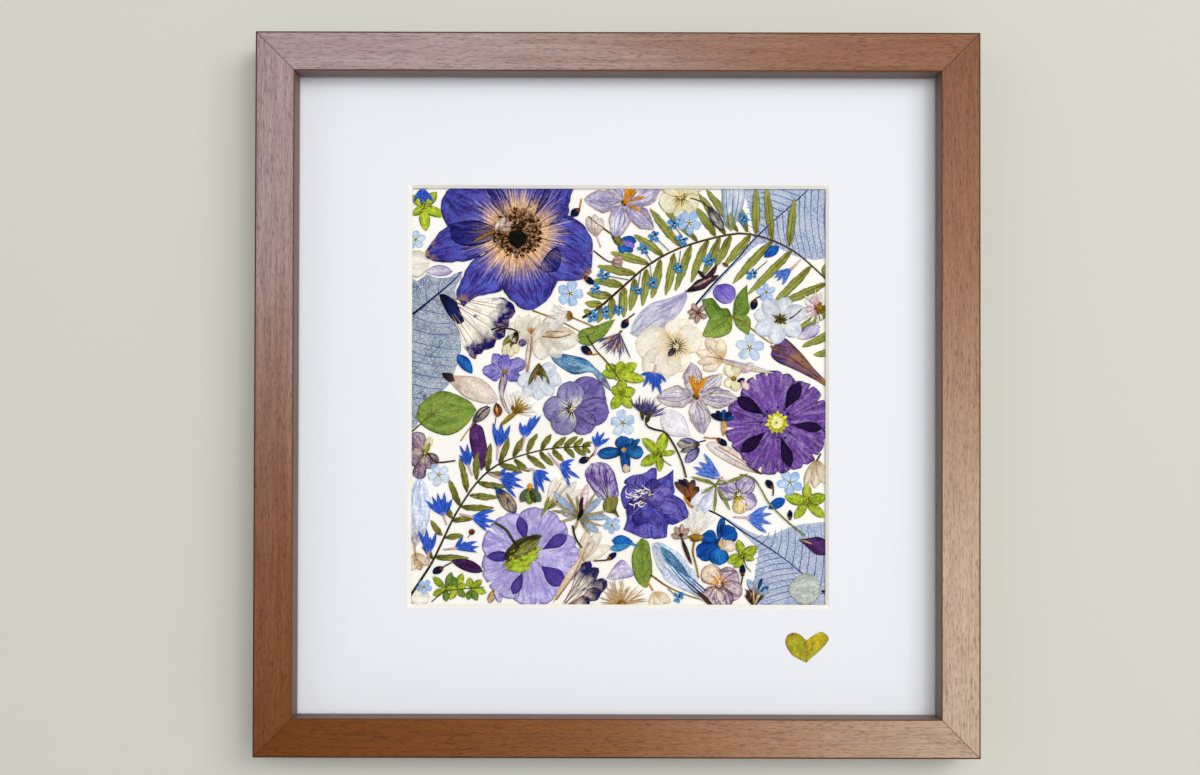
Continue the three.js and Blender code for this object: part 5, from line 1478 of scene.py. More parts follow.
frond("fern_upper_frond", "fern_upper", [(80, 134.5), (85, 137), (90, 141), (100, 150), (111, 159.5),
    (123, 166.3), (137, 171), (153, 174.3), (165, 172.5), (178, 166.8), (190, 157), (199, 147), (203, 130),
    (204, 117)], [(84.5, 137, 80.5, 138), (89, 141, 81, 141.5), (94, 144.5, 82, 146), (99, 149.5, 85, 152),
    (105, 155, 87, 158.8), (111, 160, 93, 165.2), (118, 163.7, 104, 173.5), (126, 168, 111.5, 186),
    (134, 170.5, 115.5, 189), (142.5, 173, 133, 186.5), (147, 173.6, 134.5, 193), (153, 175, 138, 195),
    (157.5, 174.8, 149, 194), (161.5, 174, 161.5, 196), (169, 171, 166, 197), (177, 168, 179.5, 191),
    (194.5, 153, 194, 160)], [(89, 139.5, 87, 132), (94, 144, 93, 133.5), (99.5, 149, 99.5, 134.5),
    (104.5, 153, 102.3, 137.5), (110, 157.5, 108, 140), (116.5, 162, 112.5, 143.5), (123, 165, 119, 145),
    (131, 169, 123.5, 147), (139, 171.5, 131, 151), (144.5, 172.6, 136.5, 154), (149.5, 173.5, 142, 158),
    (159, 173.5, 146.5, 159), (169.5, 171, 150.5, 150.5), (178.5, 166.5, 157.5, 145.5),
    (187.5, 159, 168.5, 140), (195, 151, 170, 140), (201, 141, 176.5, 125.5), (202.5, 130, 183, 121),
    (203, 119, 188.5, 117.3)], 3.9, "fern_green", (1.15, "stem_rust"))
frond("fern_lower_frond", "fern_lower", [(-3, 0), (5, 12), (10, 20), (15, 30.5), (19, 39), (22.7, 45.5),
    (31, 57.5), (40.5, 65.5), (54, 70.5), (66, 73), (84, 74.2)],
    [(10, 21, 5, 27), (14.5, 32, 9, 39.3), (19, 40, 13.5, 49), (22.5, 46, 17.3, 58.5), (26, 52, 22.3, 68.3),
    (30.5, 58, 31, 71.5), (35.5, 62, 37, 75.5), (41, 66, 45.5, 78.5), (47.5, 69, 52.5, 78.5),
    (54, 71, 59, 80), (60.5, 72.3, 65.5, 79.8), (66, 73.3, 72.5, 78.5), (71.5, 73.8, 78, 78.8),
    (76, 74.2, 80.5, 78), (80, 74.3, 84.5, 76)], [(10.5, 22, 27, 21.5), (15.5, 31, 24.5, 32),
    (19, 39, 30, 40.5), (23, 45.5, 38.7, 45), (27, 51, 41, 50), (31, 57, 44.5, 55), (35.5, 61.3, 49, 58.5),
    (41, 65.5, 52, 61.5), (48, 68, 55.5, 62), (54, 70, 63, 63.5), (60, 71.5, 66.5, 65),
    (66, 72.8, 71.5, 67), (71.5, 73.2, 76.5, 68.5), (76, 74, 82, 70), (80, 74, 84, 71)], 3.1, "fern_olive",
    (1.15, "stem_dark"))
skeleton_leaf("skeleton_leaf_left_net", "skeleton_leaf_left",
    [(-3, 84), (-3, 120), (-3, 152), (2, 151.5), (4.5, 153), (7, 155.5), (8.5, 153.8), (14, 153),
    (17.5, 153.3), (20, 155), (21.3, 156.3), (23.5, 156.2), (23.2, 153.5), (20.5, 149.5), (20, 146),
    (22, 138), (23, 131), (22.5, 127), (23, 120), (21.5, 113), (20, 109), (18.3, 104.5), (15, 100.5),
    (12, 98.5), (8, 97), (4, 92), (2, 88), (3.5, 84.8), (0, 82)], 11,
    [(0, 135.8), (10, 143.8), (20, 152.5), (22.5, 156)], [[(6.8, 142), (6.2, 149), (6.5, 155)],
    [(4, 138.2), (12, 136.4), (20, 135.8)], [(0, 135), (9, 132), (20, 131.5)],
    [(0, 129), (9, 126.6), (16, 126.5), (21, 127.3)], [(0, 123.3), (9, 121), (21, 119.3)],
    [(0, 114), (9, 112.2), (18, 111.5)], [(0, 103), (8, 101.2), (15, 100.8)],
    [(0, 118.5), (8, 116), (19.5, 115.6)], [(0, 108.5), (9, 106.5), (17.5, 106)],
    [(0, 97), (6, 96), (9, 97)], [(12, 145.8), (12.5, 150), (13.5, 153)],
    [(0, 146), (3, 149), (4.3, 152.5)]], "skeleton_left", 1.1)
skeleton_leaf("skeleton_leaf_top_net", "skeleton_leaf_top",
    [(130.5, 137.5), (135, 143.5), (141, 149.5), (148, 157), (153, 162), (160, 172), (159.5, 178),
    (158.5, 184), (157, 190), (156.5, 197), (176, 197), (197, 197), (197, 180), (197, 164.3), (192, 162.5),
    (188, 161.7), (184, 163), (180, 163.5), (175, 166), (171, 168.5), (165, 170), (160, 167.5),
    (156, 163.5), (150, 158), (142, 149), (136, 142.5)], 11,
    [(130.5, 137.5), (141, 150), (152, 161.5), (160, 171), (170, 180.5), (178, 187.5), (187, 196)],
    comb([(162, 173), (174, 184), (187, 196), (196, 197)],
    [(166, 169.5), (180, 164), (189, 162), (196, 166)], 12)
    + comb([(158, 168.5), (170, 180.5), (183, 192.5)], [(158, 172), (157, 188), (162, 197)], 10),
    "skeleton_net", 0.9)
skeleton_leaf("skeleton_leaf_low_net", "skeleton_leaf_low",
    [(135, 46.2), (140, 43.8), (147, 41), (153, 37.5), (158, 34.5), (162, 32.8), (168, 32.2), (173, 34.5),
    (181, 37.3), (188, 38.2), (197, 37.2), (197, 18), (197, -2), (163, -2), (161.5, 3), (161, 10),
    (161.5, 16), (162.5, 22), (162.7, 26), (160, 28.5), (155, 33.5), (149, 38.5), (143, 42)], 12,
    [(135, 46), (145, 41.5), (155, 34.5), (170, 25), (182.3, 15.5), (196, 3)],
    comb([(160, 32), (175, 21), (196, 3)], [(164, 32.6), (178, 36.5), (196, 37)], 11)
    + comb([(164, 29.5), (176, 20), (194, 4.5)], [(161.8, 28), (161, 12), (163, -2)], 11), "skeleton_net",
    0.8)
fan_flowers()
long_flowers()
delphiniums()
single_petal("lily_teal_petal", "pale_blue_petal", 2, "lily_petal_teal", "teal_petal",
    [(93.5, 99.8), (92.5, 103), (90, 107), (86, 111), (82, 114.8), (76, 116.5), (70, 117.6), (65, 117.5),
    (65.8, 114.8), (68.5, 112), (73, 109), (77, 107.7), (84, 109), (86.5, 106.5), (89, 103.5)], 7)
single_petal("maroon_loose_petal", "maroon_petal", 1, "maroon_petal", "maroon_velvet",
    [(32.5, 62.3), (34.5, 65), (34.7, 69), (35.3, 74), (34.3, 79), (33, 83), (31, 84), (28.5, 85),
    (27.2, 82), (27, 78), (27.7, 73), (28.5, 69), (30, 66), (31.5, 65)], 6)
single_petal("tan_loose_petal", "cream_petal", 3, "tan_petal", "tan_satin",
    [(14.2, 108.2), (16.5, 105.5), (18.2, 103.8), (21, 100.5), (25, 97), (30, 95), (35, 94), (39.5, 94.5),
    (40.7, 96), (38.5, 100), (35, 104), (31, 106.3), (24, 107), (19, 107.2), (16, 108)], 8,
    [((13.9, 108.3), (20, 104.5), 3.4, 0.08), ((14, 108), (19.5, 107), 2, 0.1)])
leaf_piece("round_leaf_blade", "round_leaf", 2, [("leaf_green",
    [(9, 89), (2.2, 89.5), (1.5, 88), (2.5, 86.3), (4.5, 83.8), (8, 81.5), (12, 79.8), (16, 79), (20, 80),
    (23.5, 82), (27, 85.5), (30.3, 91), (28, 94.3), (24, 96.8), (20, 98.5), (16, 99.8), (12, 99.5), (9, 98),
    (6, 95.5), (3, 91.5)], 11)], ("stem_olive", [(-3, 78.8), (2, 82.5), (9, 88.8)], 0.9),
    [[(9, 89), (18, 90.5), (29, 91.5)], [(9, 89), (15, 85), (19.5, 80.5)],
    [(9, 89), (10, 84), (11.5, 80.3)], [(9, 89), (15, 94), (19.5, 98.2)], [(9, 89), (9.5, 94), (11, 99)],
    [(9, 89), (18, 87), (26, 85.3)], [(9, 89), (17, 93), (26, 95.3)], [(9, 89), (5.5, 91), (3.2, 91.5)]])
leaf_piece("pointed_leaf_blade", "pointed_leaf", 2, [("leaf_green",
    [(77, 124.6), (78, 127), (80, 129), (86, 130.7), (91, 132.7), (95.4, 133.8), (93, 129.5), (90, 125.5),
    (86, 122.8), (83.5, 121.3), (80, 121.8), (77.5, 123.2)], 5)],
    ("stem_gold", [(56.5, 137.8), (66, 134.3), (73, 131), (79.5, 127.6)], 0.8),
    [[(78, 125), (86, 127.5), (94.5, 133)], [(82, 126), (86, 124.5), (89, 125.3)],
    [(85, 127), (86, 129.5), (88, 131.2)]])
leaf_piece("leaf_whorl_blades", "leaf_whorl", 3, [("leaf_dark",
    [(150.5, 135), (144, 133), (139, 135), (136.2, 142.7), (138.5, 143.4), (141.3, 143.7), (144.8, 139.3),
    (148, 138.9)], 4), ("leaf_green", [(150.5, 135), (144, 136.5), (140, 134.8), (138, 130.5), (136, 126),
    (140, 125), (144, 125.2), (147.5, 126.5), (150, 129)], 4),
    ("leaf_dark", [(150.5, 135), (150.8, 139), (151.5, 143), (154, 147), (157.3, 150.2), (157.7, 143),
    (158.3, 138), (155.5, 135)], 4), ("leaf_green", [(150.5, 135), (155, 137), (158.6, 134), (159, 131.3),
    (158, 126.4), (155, 128.2), (152.3, 130.7)], 4)], ("stem_gold",
    [(150.5, 135), (155, 132.8), (160, 129), (165, 125), (169.3, 122.3)], 0.8),
    [[(150.5, 135), (145, 138), (138.5, 142.5)], [(150.5, 135), (144, 131), (137.5, 127)],
    [(150.5, 135), (153.8, 141), (157, 149)], [(150.5, 135), (155, 131.5), (158, 128)]])
leaf_piece("oval_leaf_blade", "oval_leaf", 2, [("leaf_green",
    [(109.3, 7.8), (107, 9.5), (104.8, 12.5), (103.8, 16), (103.3, 21), (104, 25), (106, 29), (108, 31.2),
    (111.2, 29), (112.3, 23), (113, 15), (112, 12), (110.7, 8)], 7)],
    ("stem_gold", [(112, 14), (120, 8.5), (129, 4.4), (137, 2)], 0.9),
    [[(109.3, 8), (108.5, 18), (108, 30)], [(109, 12), (106, 15), (104.6, 18)],
    [(108.8, 17), (106, 21), (104.4, 23)], [(109, 13), (111, 16), (112.2, 19)],
    [(108.7, 19), (110.5, 22), (111.6, 26)]])
heart_leaf()
green_pair()
green_flower("green_mid_bloom", ["green_flower_mid"], 4, (116.3, 70.3),
    [(118.7, 80.9, 4.9), (108.2, 78.1, 4.1), (107.4, 65.2, 4.7), (116.5, 62.2, 3.3), (123.9, 71.6, 2.6)],
    [(116.5, 70), (118.5, 67.3), (121.8, 65)], 7)
green_flower("green_right_bloom", ["green_flower_right"], 2, (185.5, 48),
    [(185.5, 57.2, 4), (174.9, 51, 5.2), (194.6, 51.1, 5.2), (193.7, 40.9, 4.3), (179.6, 40.1, 3.9)], None,
    14)
green_flower("green_corner_bloom", [], 2, (5, 186.5), [(6.3, 175, 4.8), (15, 182, 4.3), (11.3, 193.5, 4.5),
    (0, 182.5, 3.4), (0, 192, 4)], None, 8)
green_flower("green_low_bloom", [], 5, (155.3, 23), [(153.2, 30.5, 3.8), (162.3, 27, 4.6), (161, 21, 2.8),
    (148.3, 20, 4.6), (151.5, 17.2, 4)], [(155.5, 22.5), (157, 18), (159.3, 15.3)], 8)
green_sprig()
cornflowers()
forget_me_nots()
thread_flowers()
buds()

# loose petals, dried florets and odd stems
small_flower("cream_disc_petal", "cream_petal", 2, ("p", "cream_clear", (-5, 160), (8, 160), 13))
small_flower("lilac_lens_petal", "lilac_petal", 2, ("p", "harebell_lilac", (6, 156), (18.8, 156), 5.2))
small_flower("pink_floret_on_bloom", "cream_petal", 6, ("p", "golden", (43, 177), (28, 169.6), 1.5),
    ("p", "brown_pink", (40, 175.6), (47, 179.4), 3.4), ("p", "pale_pink", (40, 175.6), (43.5, 181.5), 3),
    ("p", "brown_pink", (40, 175.6), (46.6, 176), 2.8), ("p", "pale_pink", (39, 175), (40.6, 180), 2.4))
small_flower("pale_pink_trumpet", "cream_petal", 3, ("s", "stem_pink", [(86.5, 173), (88.5, 167.5)], 0.7),
    *fan("pale_pink", (86.5, 172.5), (82, 182, 4.4), (85.5, 183.3, 4.4), (88.8, 181.5, 4.2)))
small_flower("blue_blossom_on_stem", "blue_petal", 3, ("s", "stem_olive",
    [(82.5, 182), (87, 178.5), (94, 173.5)], 0.8), *fan("blue_petal", (97.5, 171), (105.3, 170.5, 4.4),
    (103.5, 165.3, 4.6), (99, 164.6, 4)), ("p", "violet_round", (98, 170.5), (104.5, 167.8), 3.4),
    *fan("olive_calyx", (93.5, 173.8), (99, 168.2, 3.8), (98.6, 174.3, 3)))
small_flower("brown_pink_floret", "brown_petal", 4, ("s", "stem_brown",
    [(85, 166), (91, 161.5), (94, 160.5)], 0.6), *fan("brown_pink", (93.5, 160.5), (98.8, 163, 3),
    (98.7, 158.2, 3), (99, 160.6, 2.6)))
small_flower("purple_striped_bud", "purple_petal", 5, ("s", "stem_brown",
    [(140, 185.4), (136, 189), (130.5, 190.8)], 0.5), ("p", "striped_bud", (139, 187), (146.2, 175.8), 5),
    ("p", "striped_bud", (139.6, 186.4), (146.4, 177.6), 2))
small_flower("blue_petal_right", "blue_petal", 5, ("p", "blue_petal", (165.3, 163), (172.2, 168.2), 4.6))
small_flower("blue_petal_left", "blue_petal", 4, ("p", "blue_petal", (28.3, 108), (21.3, 117), 5.4))
small_flower("blue_petal_low", "blue_petal", 4, ("p", "blue_petal", (167.3, 45), (175.2, 49.5), 4.8))
small_flower("blue_petal_spurred", "pale_blue_petal", 4, ("p", "blue_petal", (104, 29), (94, 30), 5.2),
    ("p", "thread_blue", (103, 28), (93, 26), 3.6), ("s", "thread_blue", [(102, 29), (106, 27.4)], 1))
small_flower("red_brown_bit", "brown_petal", 5, ("p", "bud_brown", (145.5, 160.3), (148.6, 158.7), 1.6))
small_flower("violet_round_petal", "violet_petal", 2, ("o", "violet_round",
    [(143, 150), (141.2, 147), (142.5, 143.5), (146, 141.2), (149.5, 141.5), (151.8, 144.5), (151.4, 148.3),
    (148, 150.6)], 4))
small_flower("tan_five_lobed_floret", "brown_petal", 5,
    *fan("brown_pink", (134.4, 136.8), (129.2, 137.4), (131.6, 141.4), (137.8, 140.6), (138.4, 134.4),
    (133.4, 131.6), (130, 134), width=2.5), ("d", "bud_brown", (134, 136.8), 0.8))
small_flower("cream_tubular_flower", "cream_petal", 4, *fan("cream_petal", (145.8, 115), (133.3, 118.4, 5),
    (136.5, 110.2, 5.4), (138.2, 125.4, 6), (144.7, 124.9, 5.6), (134, 113.6, 4)),
    ("p", "cream_petal", (140, 116.4), (170, 108.6), 2.6),
    ("p", "trumpet_lilac", (142, 116), (168.6, 109), 1.4), ("s", "rib_tan", [(146, 115), (139, 121)], 0.4),
    ("s", "rib_tan", [(146, 115), (137.6, 116.6)], 0.4))
small_flower("white_columbine", "cream_petal", 4, *fan("blue_white", (172.5, 134), (160.5, 136.5),
    (165.5, 143.8), (176.5, 144.4), (186, 138), (182.5, 126.5), (171, 122), (161, 127.5), width=8.6),
    ("r", "olive_calyx", (172.5, 133.8), 0, 330, 9, 2, 4.2, 1.2),
    ("r", "stem_brown", (172.5, 133.8), 20, 340, 6, 2, 4.6, 0.7),
    ("s", "stem_brown", [(177, 134), (180, 136), (183, 138.8)], 0.6))
small_flower("fuzzy_daisy", "cream_petal", 5, ("r", "fluff", (190.5, 139.5), 60, 290, 40, 4.5, 9.5, 0.7),
    ("r", "pink_white", (190.5, 139.5), 90, 250, 16, 4, 7.5, 0.8),
    ("r", "golden", (191.2, 139), 0, 350, 26, 1.6, 4, 0.9), ("d", "golden", (191.2, 139.3), 1.6))
small_flower("lilac_lens_right", "lilac_petal", 4, ("p", "harebell_lilac", (181, 125), (191.6, 130.5), 6))
small_flower("tan_floret_long_stem", "brown_petal", 4, ("s", "stem_gold",
    [(74, 135), (80, 132.5), (87.5, 129.3)], 0.6), ("r", "fluff", (75, 135.4), 140, 215, 34, 5, 11.5, 0.8),
    ("r", "tan_petal", (75.4, 135.2), 130, 230, 12, 2.4, 4, 1.2),
    ("r", "golden", (75.4, 135.2), 120, 240, 8, 1.6, 3, 1))
small_flower("white_ray_flower", "cream_petal", 4, *fan("cream_clear", (53, 122), (46.6, 132.2),
    (55, 136.3), (64.7, 132.2), (50, 135.6), (59.8, 135.8), (45, 128), width=5.4),
    ("p", "pale_pink", (54.2, 106), (56.6, 128), 2.6), ("s", "stem_tan",
    [(56, 125.5), (55.4, 117), (53.6, 107)], 0.6), ("r", "orange_tip", (56, 126.5), 55, 125, 6, 2.4, 4.6,
    0.6))
small_flower("beige_round_petals", "cream_petal", 3, *fan("cream_clear", (60.5, 126.5), (78.6, 123.8, 11),
    (70, 134, 10), (60.7, 114.5, 9), (70, 115.5, 8)), ("p", "beige_petal", (62.6, 126), (76, 127.4), 3),
    ("s", "fold_brown", [(61, 125.6), (68, 125), (74.5, 126.6)], 0.5),
    ("s", "fold_brown", [(61.4, 127), (66.5, 128), (71, 127.4)], 0.4))
small_flower("olive_dried_bloom", "brown_petal", 4, ("s", "stem_brown",
    [(39, 127.8), (44, 129.4), (49, 128), (50.4, 125)], 0.9),
    *fan("pansy_yellow", (46.5, 124), (43, 116.5, 4), (46.4, 115.8, 4), (49.6, 117.6, 3.6)),
    ("p", "olive_calyx", (48.8, 127.6), (42.6, 121.4), 3),
    ("p", "brown_petal", (49.4, 128.6), (46, 120.4), 2.6),
    ("p", "stem_dark", (50.4, 128), (48.6, 121.6), 1.6), ("d", "anther_black", (48.8, 126.8), 1.2),
    ("d", "purple_bud", (51.8, 122.6), 1.9))
small_flower("purple_tassel", "purple_petal", 5, ("s", "stem_olive", [(98.5, 128.5), (96.5, 126)], 1),
    ("r", "purple_tuft", (97.6, 127.4), 195, 290, 18, 9, 14, 0.7),
    ("r", "stem_tan", (97.6, 127.4), 200, 280, 6, 7, 11, 0.8),
    ("r", "purple_tuft", (97.6, 127), 205, 275, 6, 5, 8, 0.8))
small_flower("white_flower_olive_v", "cream_petal", 5, *fan("blue_white", (59.5, 107.6), (49.4, 103.6),
    (53, 97.4), (59.5, 95.6), (66, 97.8), (70.4, 103.8), (67.6, 112), width=7.4),
    *fan("olive_calyx", (59.6, 113.2), (54.6, 102.4), (64.6, 102.8), width=2.2),
    ("p", "fold_brown", (59.6, 112.6), (57.6, 104.4), 1.4),
    ("p", "olive_calyx", (59.6, 112.6), (61.6, 104.4), 1.4), ("d", "stem_dark", (59.4, 108.2), 1.1))
small_flower("tan_fluffy_flower", "brown_petal", 5, ("p", "stem_gold", (51, 91), (41.5, 83.4), 2.4),
    ("r", "fluff", (48.5, 90), -8, 108, 40, 7, 11.5, 0.7),
    ("r", "stem_gold", (48.5, 90), 0, 100, 18, 4, 8.5, 0.7),
    ("r", "golden", (48, 89.6), 10, 120, 9, 3, 5, 1))
small_flower("grey_seed_pod", "leaf", 5, ("s", "stem_tan", [(30, 86), (26.5, 81.5), (23, 76.5)], 0.6),
    ("p", "pod_grey", (28.6, 84.5), (36.8, 92.5), 5.2), ("s", "whisker",
    [(30, 86.4), (33.4, 90.2), (36.4, 92.4)], 0.5), ("s", "whisker", [(29.6, 87), (31.6, 91), (35.6, 93)],
    0.4), ("p", "bud_brown", (39.6, 94.4), (40.6, 87.6), 4.2),
    ("p", "stem_tan", (39.6, 93.6), (40.4, 88.6), 1.2))
small_flower("purple_stamen_heads", "purple_petal", 5, ("s", "stem_brown",
    [(110, 88), (110, 84), (114, 82), (119, 80.5), (124, 73), (127, 66), (128.8, 59.5)], 0.9),
    ("r", "purple_tuft", (107.5, 90), 62, 135, 14, 5, 9, 0.5),
    ("r", "purple_tuft", (111, 88), 15, 105, 18, 6, 10, 0.5),
    ("r", "purple_bud", (109.5, 88.6), 20, 130, 12, 4, 8, 0.6),
    ("p", "stem_dark", (108.5, 86), (107.4, 91.6), 1.8), ("p", "stem_dark", (110.4, 85), (111.6, 90.2), 2))
small_flower("pale_cream_fan", "cream_petal", 3, ("o", "white_petal",
    [(131, 79), (125, 78.6), (119, 80.5), (116.6, 86), (118, 91.4), (123, 91), (128, 87.5)], 4))
small_flower("cream_yellow_flower", "cream_petal", 4, *fan("pansy_yellow", (151, 106), (147.2, 112.4),
    (153.6, 113.2), (147, 102.4), (152.6, 100), width=5), ("p", "navy", (152.4, 104.4), (156.4, 105.8), 2),
    ("p", "pink_white", (154.5, 109), (160.4, 113.2), 4.2),
    ("p", "pink_white", (154.5, 105), (158, 100.6), 3.4), ("d", "golden", (151, 106), 1.3))
small_flower("navy_cluster", "blue_petal", 5, ("p", "stem_tan", (146.2, 79), (146.4, 87.5), 2.8),
    *fan("bud_navy", (146.3, 86), (140.2, 89.4), (143, 91), width=3),
    ("p", "dark_blue", (146.3, 86), (146.6, 91.6), 2.8), ("p", "bud_navy", (146.3, 86), (149.8, 90.4), 3),
    ("p", "dark_blue", (146.3, 86), (151.6, 88), 2.4))
small_flower("long_tan_petal", "brown_petal", 2, ("o", "tan_satin",
    [(164, 61.3), (157, 62.6), (149.5, 66), (142, 70.5), (138, 74.5), (140, 76.6), (146.5, 75), (154, 71),
    (160, 66)], 4), ("s", "fold_lilac", [(162, 62.4), (152, 67.6), (142, 73.6)], 0.5),
    ("s", "rib_tan", [(160, 64), (151, 70), (144, 74)], 0.5),
    ("p", "stem_brown", (164.6, 61), (159.5, 64), 1.4))
small_flower("purple_pods", "purple_petal", 5, ("s", "stem_brown", [(138, 77), (134.6, 76), (132, 74.6)],
    0.6), ("p", "pod_grey", (135.4, 74.8), (124.4, 75.4), 5.8),
    ("p", "purple_bud", (135.2, 75.8), (126, 77.4), 2.6),
    ("p", "purple_bud", (135, 73.4), (128.4, 66.6), 4.8),
    ("p", "striped_bud", (134.6, 73.8), (126, 71.6), 2.4))
small_flower("navy_orange_cone", "blue_petal", 4, ("p", "orange_tip", (131.8, 45), (129.4, 55), 4.6),
    ("p", "tan_petal", (131.6, 46), (131.2, 55), 3), ("p", "bud_brown", (131.4, 47), (127.4, 55), 2.4),
    *fan("cone_floret", (131, 50), (123.4, 57.6, 3.6), (127.6, 59.2, 3.6), (132.4, 58.8, 3.6),
    (134.6, 55.4, 3)), ("p", "bud_navy", (130, 54.6), (125, 58.6), 2))
small_flower("olive_thin_star", "leaf", 5, *fan("blue_white", (141.6, 55.4), (130.6, 46.6), (137.4, 42.6),
    width=5), ("p", "trumpet_lilac", (141.6, 55.4), (133.8, 43.6), 3.4),
    *fan("fern_green", (142.5, 56), (131, 60), (135.5, 51.8), (142, 43), (149.6, 44), (146, 60),
    (158, 61.6), (137, 58.8), width=1.4), ("d", "olive_calyx", (142.5, 56), 0.9))
small_flower("olive_long_stem", "leaf", 6, ("s", "fern_green",
    [(154, 61), (160, 59.5), (164, 54), (167, 48.5), (172, 43), (178, 37.5), (184.5, 32.5)], 0.7))
small_flower("white_tuft", "cream_petal", 1, ("r", "fluff", (133, 32), 40, 118, 60, 8, 16, 0.8))
small_flower("tan_bell_right", "brown_petal", 3, *fan("beige_petal", (190, 68.2), (184.4, 56, 5.2),
    (189, 54.6, 5.4), (194, 56.6, 5)), ("s", "stem_brown", [(190, 67.4), (192, 71)], 0.7))
small_flower("maroon_petals_right", "maroon_petal", 3, ("o", "maroon_velvet",
    [(181.5, 30.5), (187, 31.4), (191, 31.8), (195, 30), (195, 24), (190, 23.6), (186, 26.5)], 3),
    ("p", "stem_tan", (182, 30.4), (188, 28.4), 0.8))
small_flower("maroon_petal_low", "maroon_petal", 3, ("p", "maroon_velvet", (18.6, 20.4), (33.6, 15.2), 5.6))
small_flower("pale_long_petal_left", "cream_petal", 1, ("p", "lily_blue", (1.5, 26), (3.5, 60), 10.5))
small_flower("tan_bell_left", "brown_petal", 4, ("s", "stem_tan", [(2, 23), (1, 29.3)], 0.7),
    ("p", "beige_petal", (2, 24), (0.4, 15.6), 4.4), ("p", "tan_petal", (2, 24), (4.4, 15.8), 4.4),
    ("p", "beige_petal", (2, 24), (8, 18), 4))
small_flower("cream_disc_corner", "cream_petal", 1, ("p", "cream_clear", (-2, 3), (9, 3), 9))
small_flower("tan_lilac_bit", "lilac_petal", 3, ("p", "tan_petal", (39, 6.8), (36.4, 0.4), 3.4),
    ("p", "harebell_lilac", (39.4, 6.6), (41.8, 0.6), 3.4))
small_flower("barrel_floret", "blue_petal", 4, ("p", "barrel_blue", (39.4, 54.6), (49, 42.6), 6.6),
    ("p", "tan_petal", (41.6, 53), (48.6, 43.6), 2), ("p", "dark_blue", (38.4, 55.6), (43, 51), 1.6),
    ("p", "barrel_blue", (44.6, 50), (47.6, 42.2), 2.6))
small_flower("dark_bell_calyx", "leaf", 5, ("p", "stem_grey", (55.5, 54.6), (51.2, 47.8), 4.2),
    ("p", "leaf_dark", (55.5, 54.6), (55.5, 46.6), 5), ("p", "stem_grey", (55.5, 54.6), (60.8, 48), 4.4),
    ("p", "stem_dark", (55.5, 54), (58.4, 47.4), 2.6), ("p", "orange_tip", (55.5, 53), (55.5, 56.8), 2.4))
small_flower("beige_flower_olive_base", "brown_petal", 4,
    *fan("cream_clear", (64, 45), (67.6, 59.6, 4.6), (73.4, 60.4, 5), (77.6, 57.6, 4.6), (81, 54, 4)),
    ("s", "rib_tan", [(65, 47), (70, 57)], 0.4), ("s", "rib_tan", [(65, 47), (74, 56)], 0.4),
    ("p", "fern_green", (60.4, 40.6), (66.8, 49.4), 1.8), ("p", "olive_calyx", (63, 44), (70, 49.6), 1.6),
    ("p", "fern_green", (62.4, 43), (64.6, 50.6), 1.4))
small_flower("nigella_star", "blue_petal", 5, *fan("nigella", (78.5, 41), (66.6, 53), (70, 44), (88, 33.6),
    (92.6, 40.6), (89.4, 50.4), width=3.6), *fan("dry_bract", (78.5, 41), (66, 48.4), (65.4, 44),
    (69.6, 38.6), (76, 34), (84, 32.6), (90, 36.6), (92, 44), (86.6, 52.6), (82, 55), (72.4, 52.4),
    (77.6, 51), width=1.3), ("p", "pink_white", (79.6, 42), (82.6, 56.6), 3.4),
    ("p", "calyx_maroon", (79, 41.6), (80.6, 51.6), 2.4),
    ("s", "stem_brown", [(75.5, 37), (77, 31), (80, 26.5)], 0.9),
    ("p", "anther_black", (77.6, 39), (80.6, 46), 2))
small_flower("cream_tube_low", "cream_petal", 3, ("p", "cream_petal", (66.5, 0.5), (84.6, 27), 3),
    ("p", "cream_petal", (80.5, 20), (82.4, 34.6), 5.4), *fan("cream_clear", (80.5, 20), (89, 34, 6),
    (93.4, 27.6, 5.4)), ("s", "rib_tan", [(68, 2), (76, 13.6), (83, 29)], 0.6),
    ("p", "beige_petal", (80.2, 20.2), (86, 30), 3))
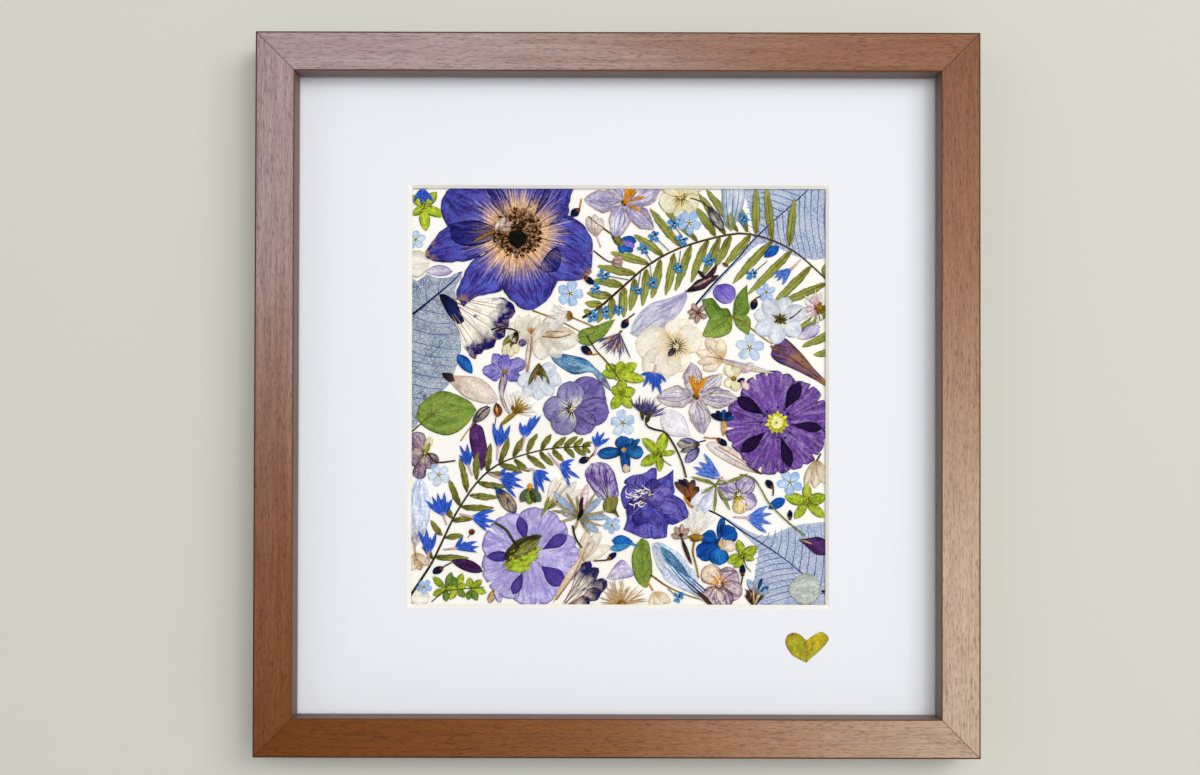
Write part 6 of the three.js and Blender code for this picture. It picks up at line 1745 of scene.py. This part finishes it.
small_flower("triangular_lilac_petal", "lilac_petal", 3,
    ("o", "harebell_lilac", [(91.4, 12), (96, 11.6), (104, 13.4), (103, 17), (98.6, 21), (94.6, 17)], 3))
small_flower("half_daisy", "brown_petal", 4, ("r", "beige_petal", (98.5, -0.5), 6, 172, 22, 8, 13.5, 0.8),
    ("r", "stem_tan", (98.5, -0.5), 4, 176, 14, 8, 12.5, 0.45),
    ("r", "golden", (98.5, 0), 10, 170, 12, 1.6, 3, 1), ("d", "golden", (98.5, -0.4), 1.8))
small_flower("cream_bell", "cream_petal", 3, ("s", "orange_tip", [(113.4, 6.4), (110.5, 11)], 0.8),
    *fan("cream_petal", (114, 6), (113, -1.5, 4.6), (118, -1.8, 4.8), (121.8, 1, 4.4)))
small_flower("brown_dried_floret", "brown_petal", 5, ("p", "brown_petal", (126.4, 32), (131.6, 18.6), 1.9),
    *fan("brown_pink", (126.6, 31), (121.8, 33), (123.6, 36.6), (127, 38), (130, 36), (129.4, 32.6),
    width=2.6), ("d", "calyx_maroon", (126.4, 32.6), 1))
small_flower("golden_tuft", "brown_petal", 5, ("s", "stem_gold",
    [(133, 30.6), (132, 25), (133.6, 18), (134.7, 12.5)], 0.9),
    ("r", "golden", (133, 29.4), 25, 155, 16, 2.4, 4.6, 1.1),
    ("p", "golden", (129.4, 31.6), (137, 31.8), 3))
small_flower("dried_cluster_low", "brown_petal", 3, ("r", "brown_petal", (160.6, -1), 58, 128, 16, 6, 12,
    1.2), ("r", "beige_petal", (160.6, -1), 60, 120, 8, 6, 11, 1),
    *fan("nigella", (162, 5), (157.6, 12), (162, 13), (167.4, 11), (168, 6.6), width=3),
    ("p", "dark_blue", (163, 6), (167.6, 8.6), 2), ("p", "dark_blue", (162.4, 7), (164.6, 12.6), 1.6))
small_flower("pale_disc_low", "cream_petal", 4, ("p", "silver_petal", (176.3, 7.5), (192.3, 7.5), 15.5))
small_flower("stray_specks", "blue_petal", 4, ("d", "bright_blue", (66, 45.8), 0.6),
    ("d", "anther_black", (193.3, 6.3), 0.7), ("d", "anther_black", (83, 0.6), 0.7))
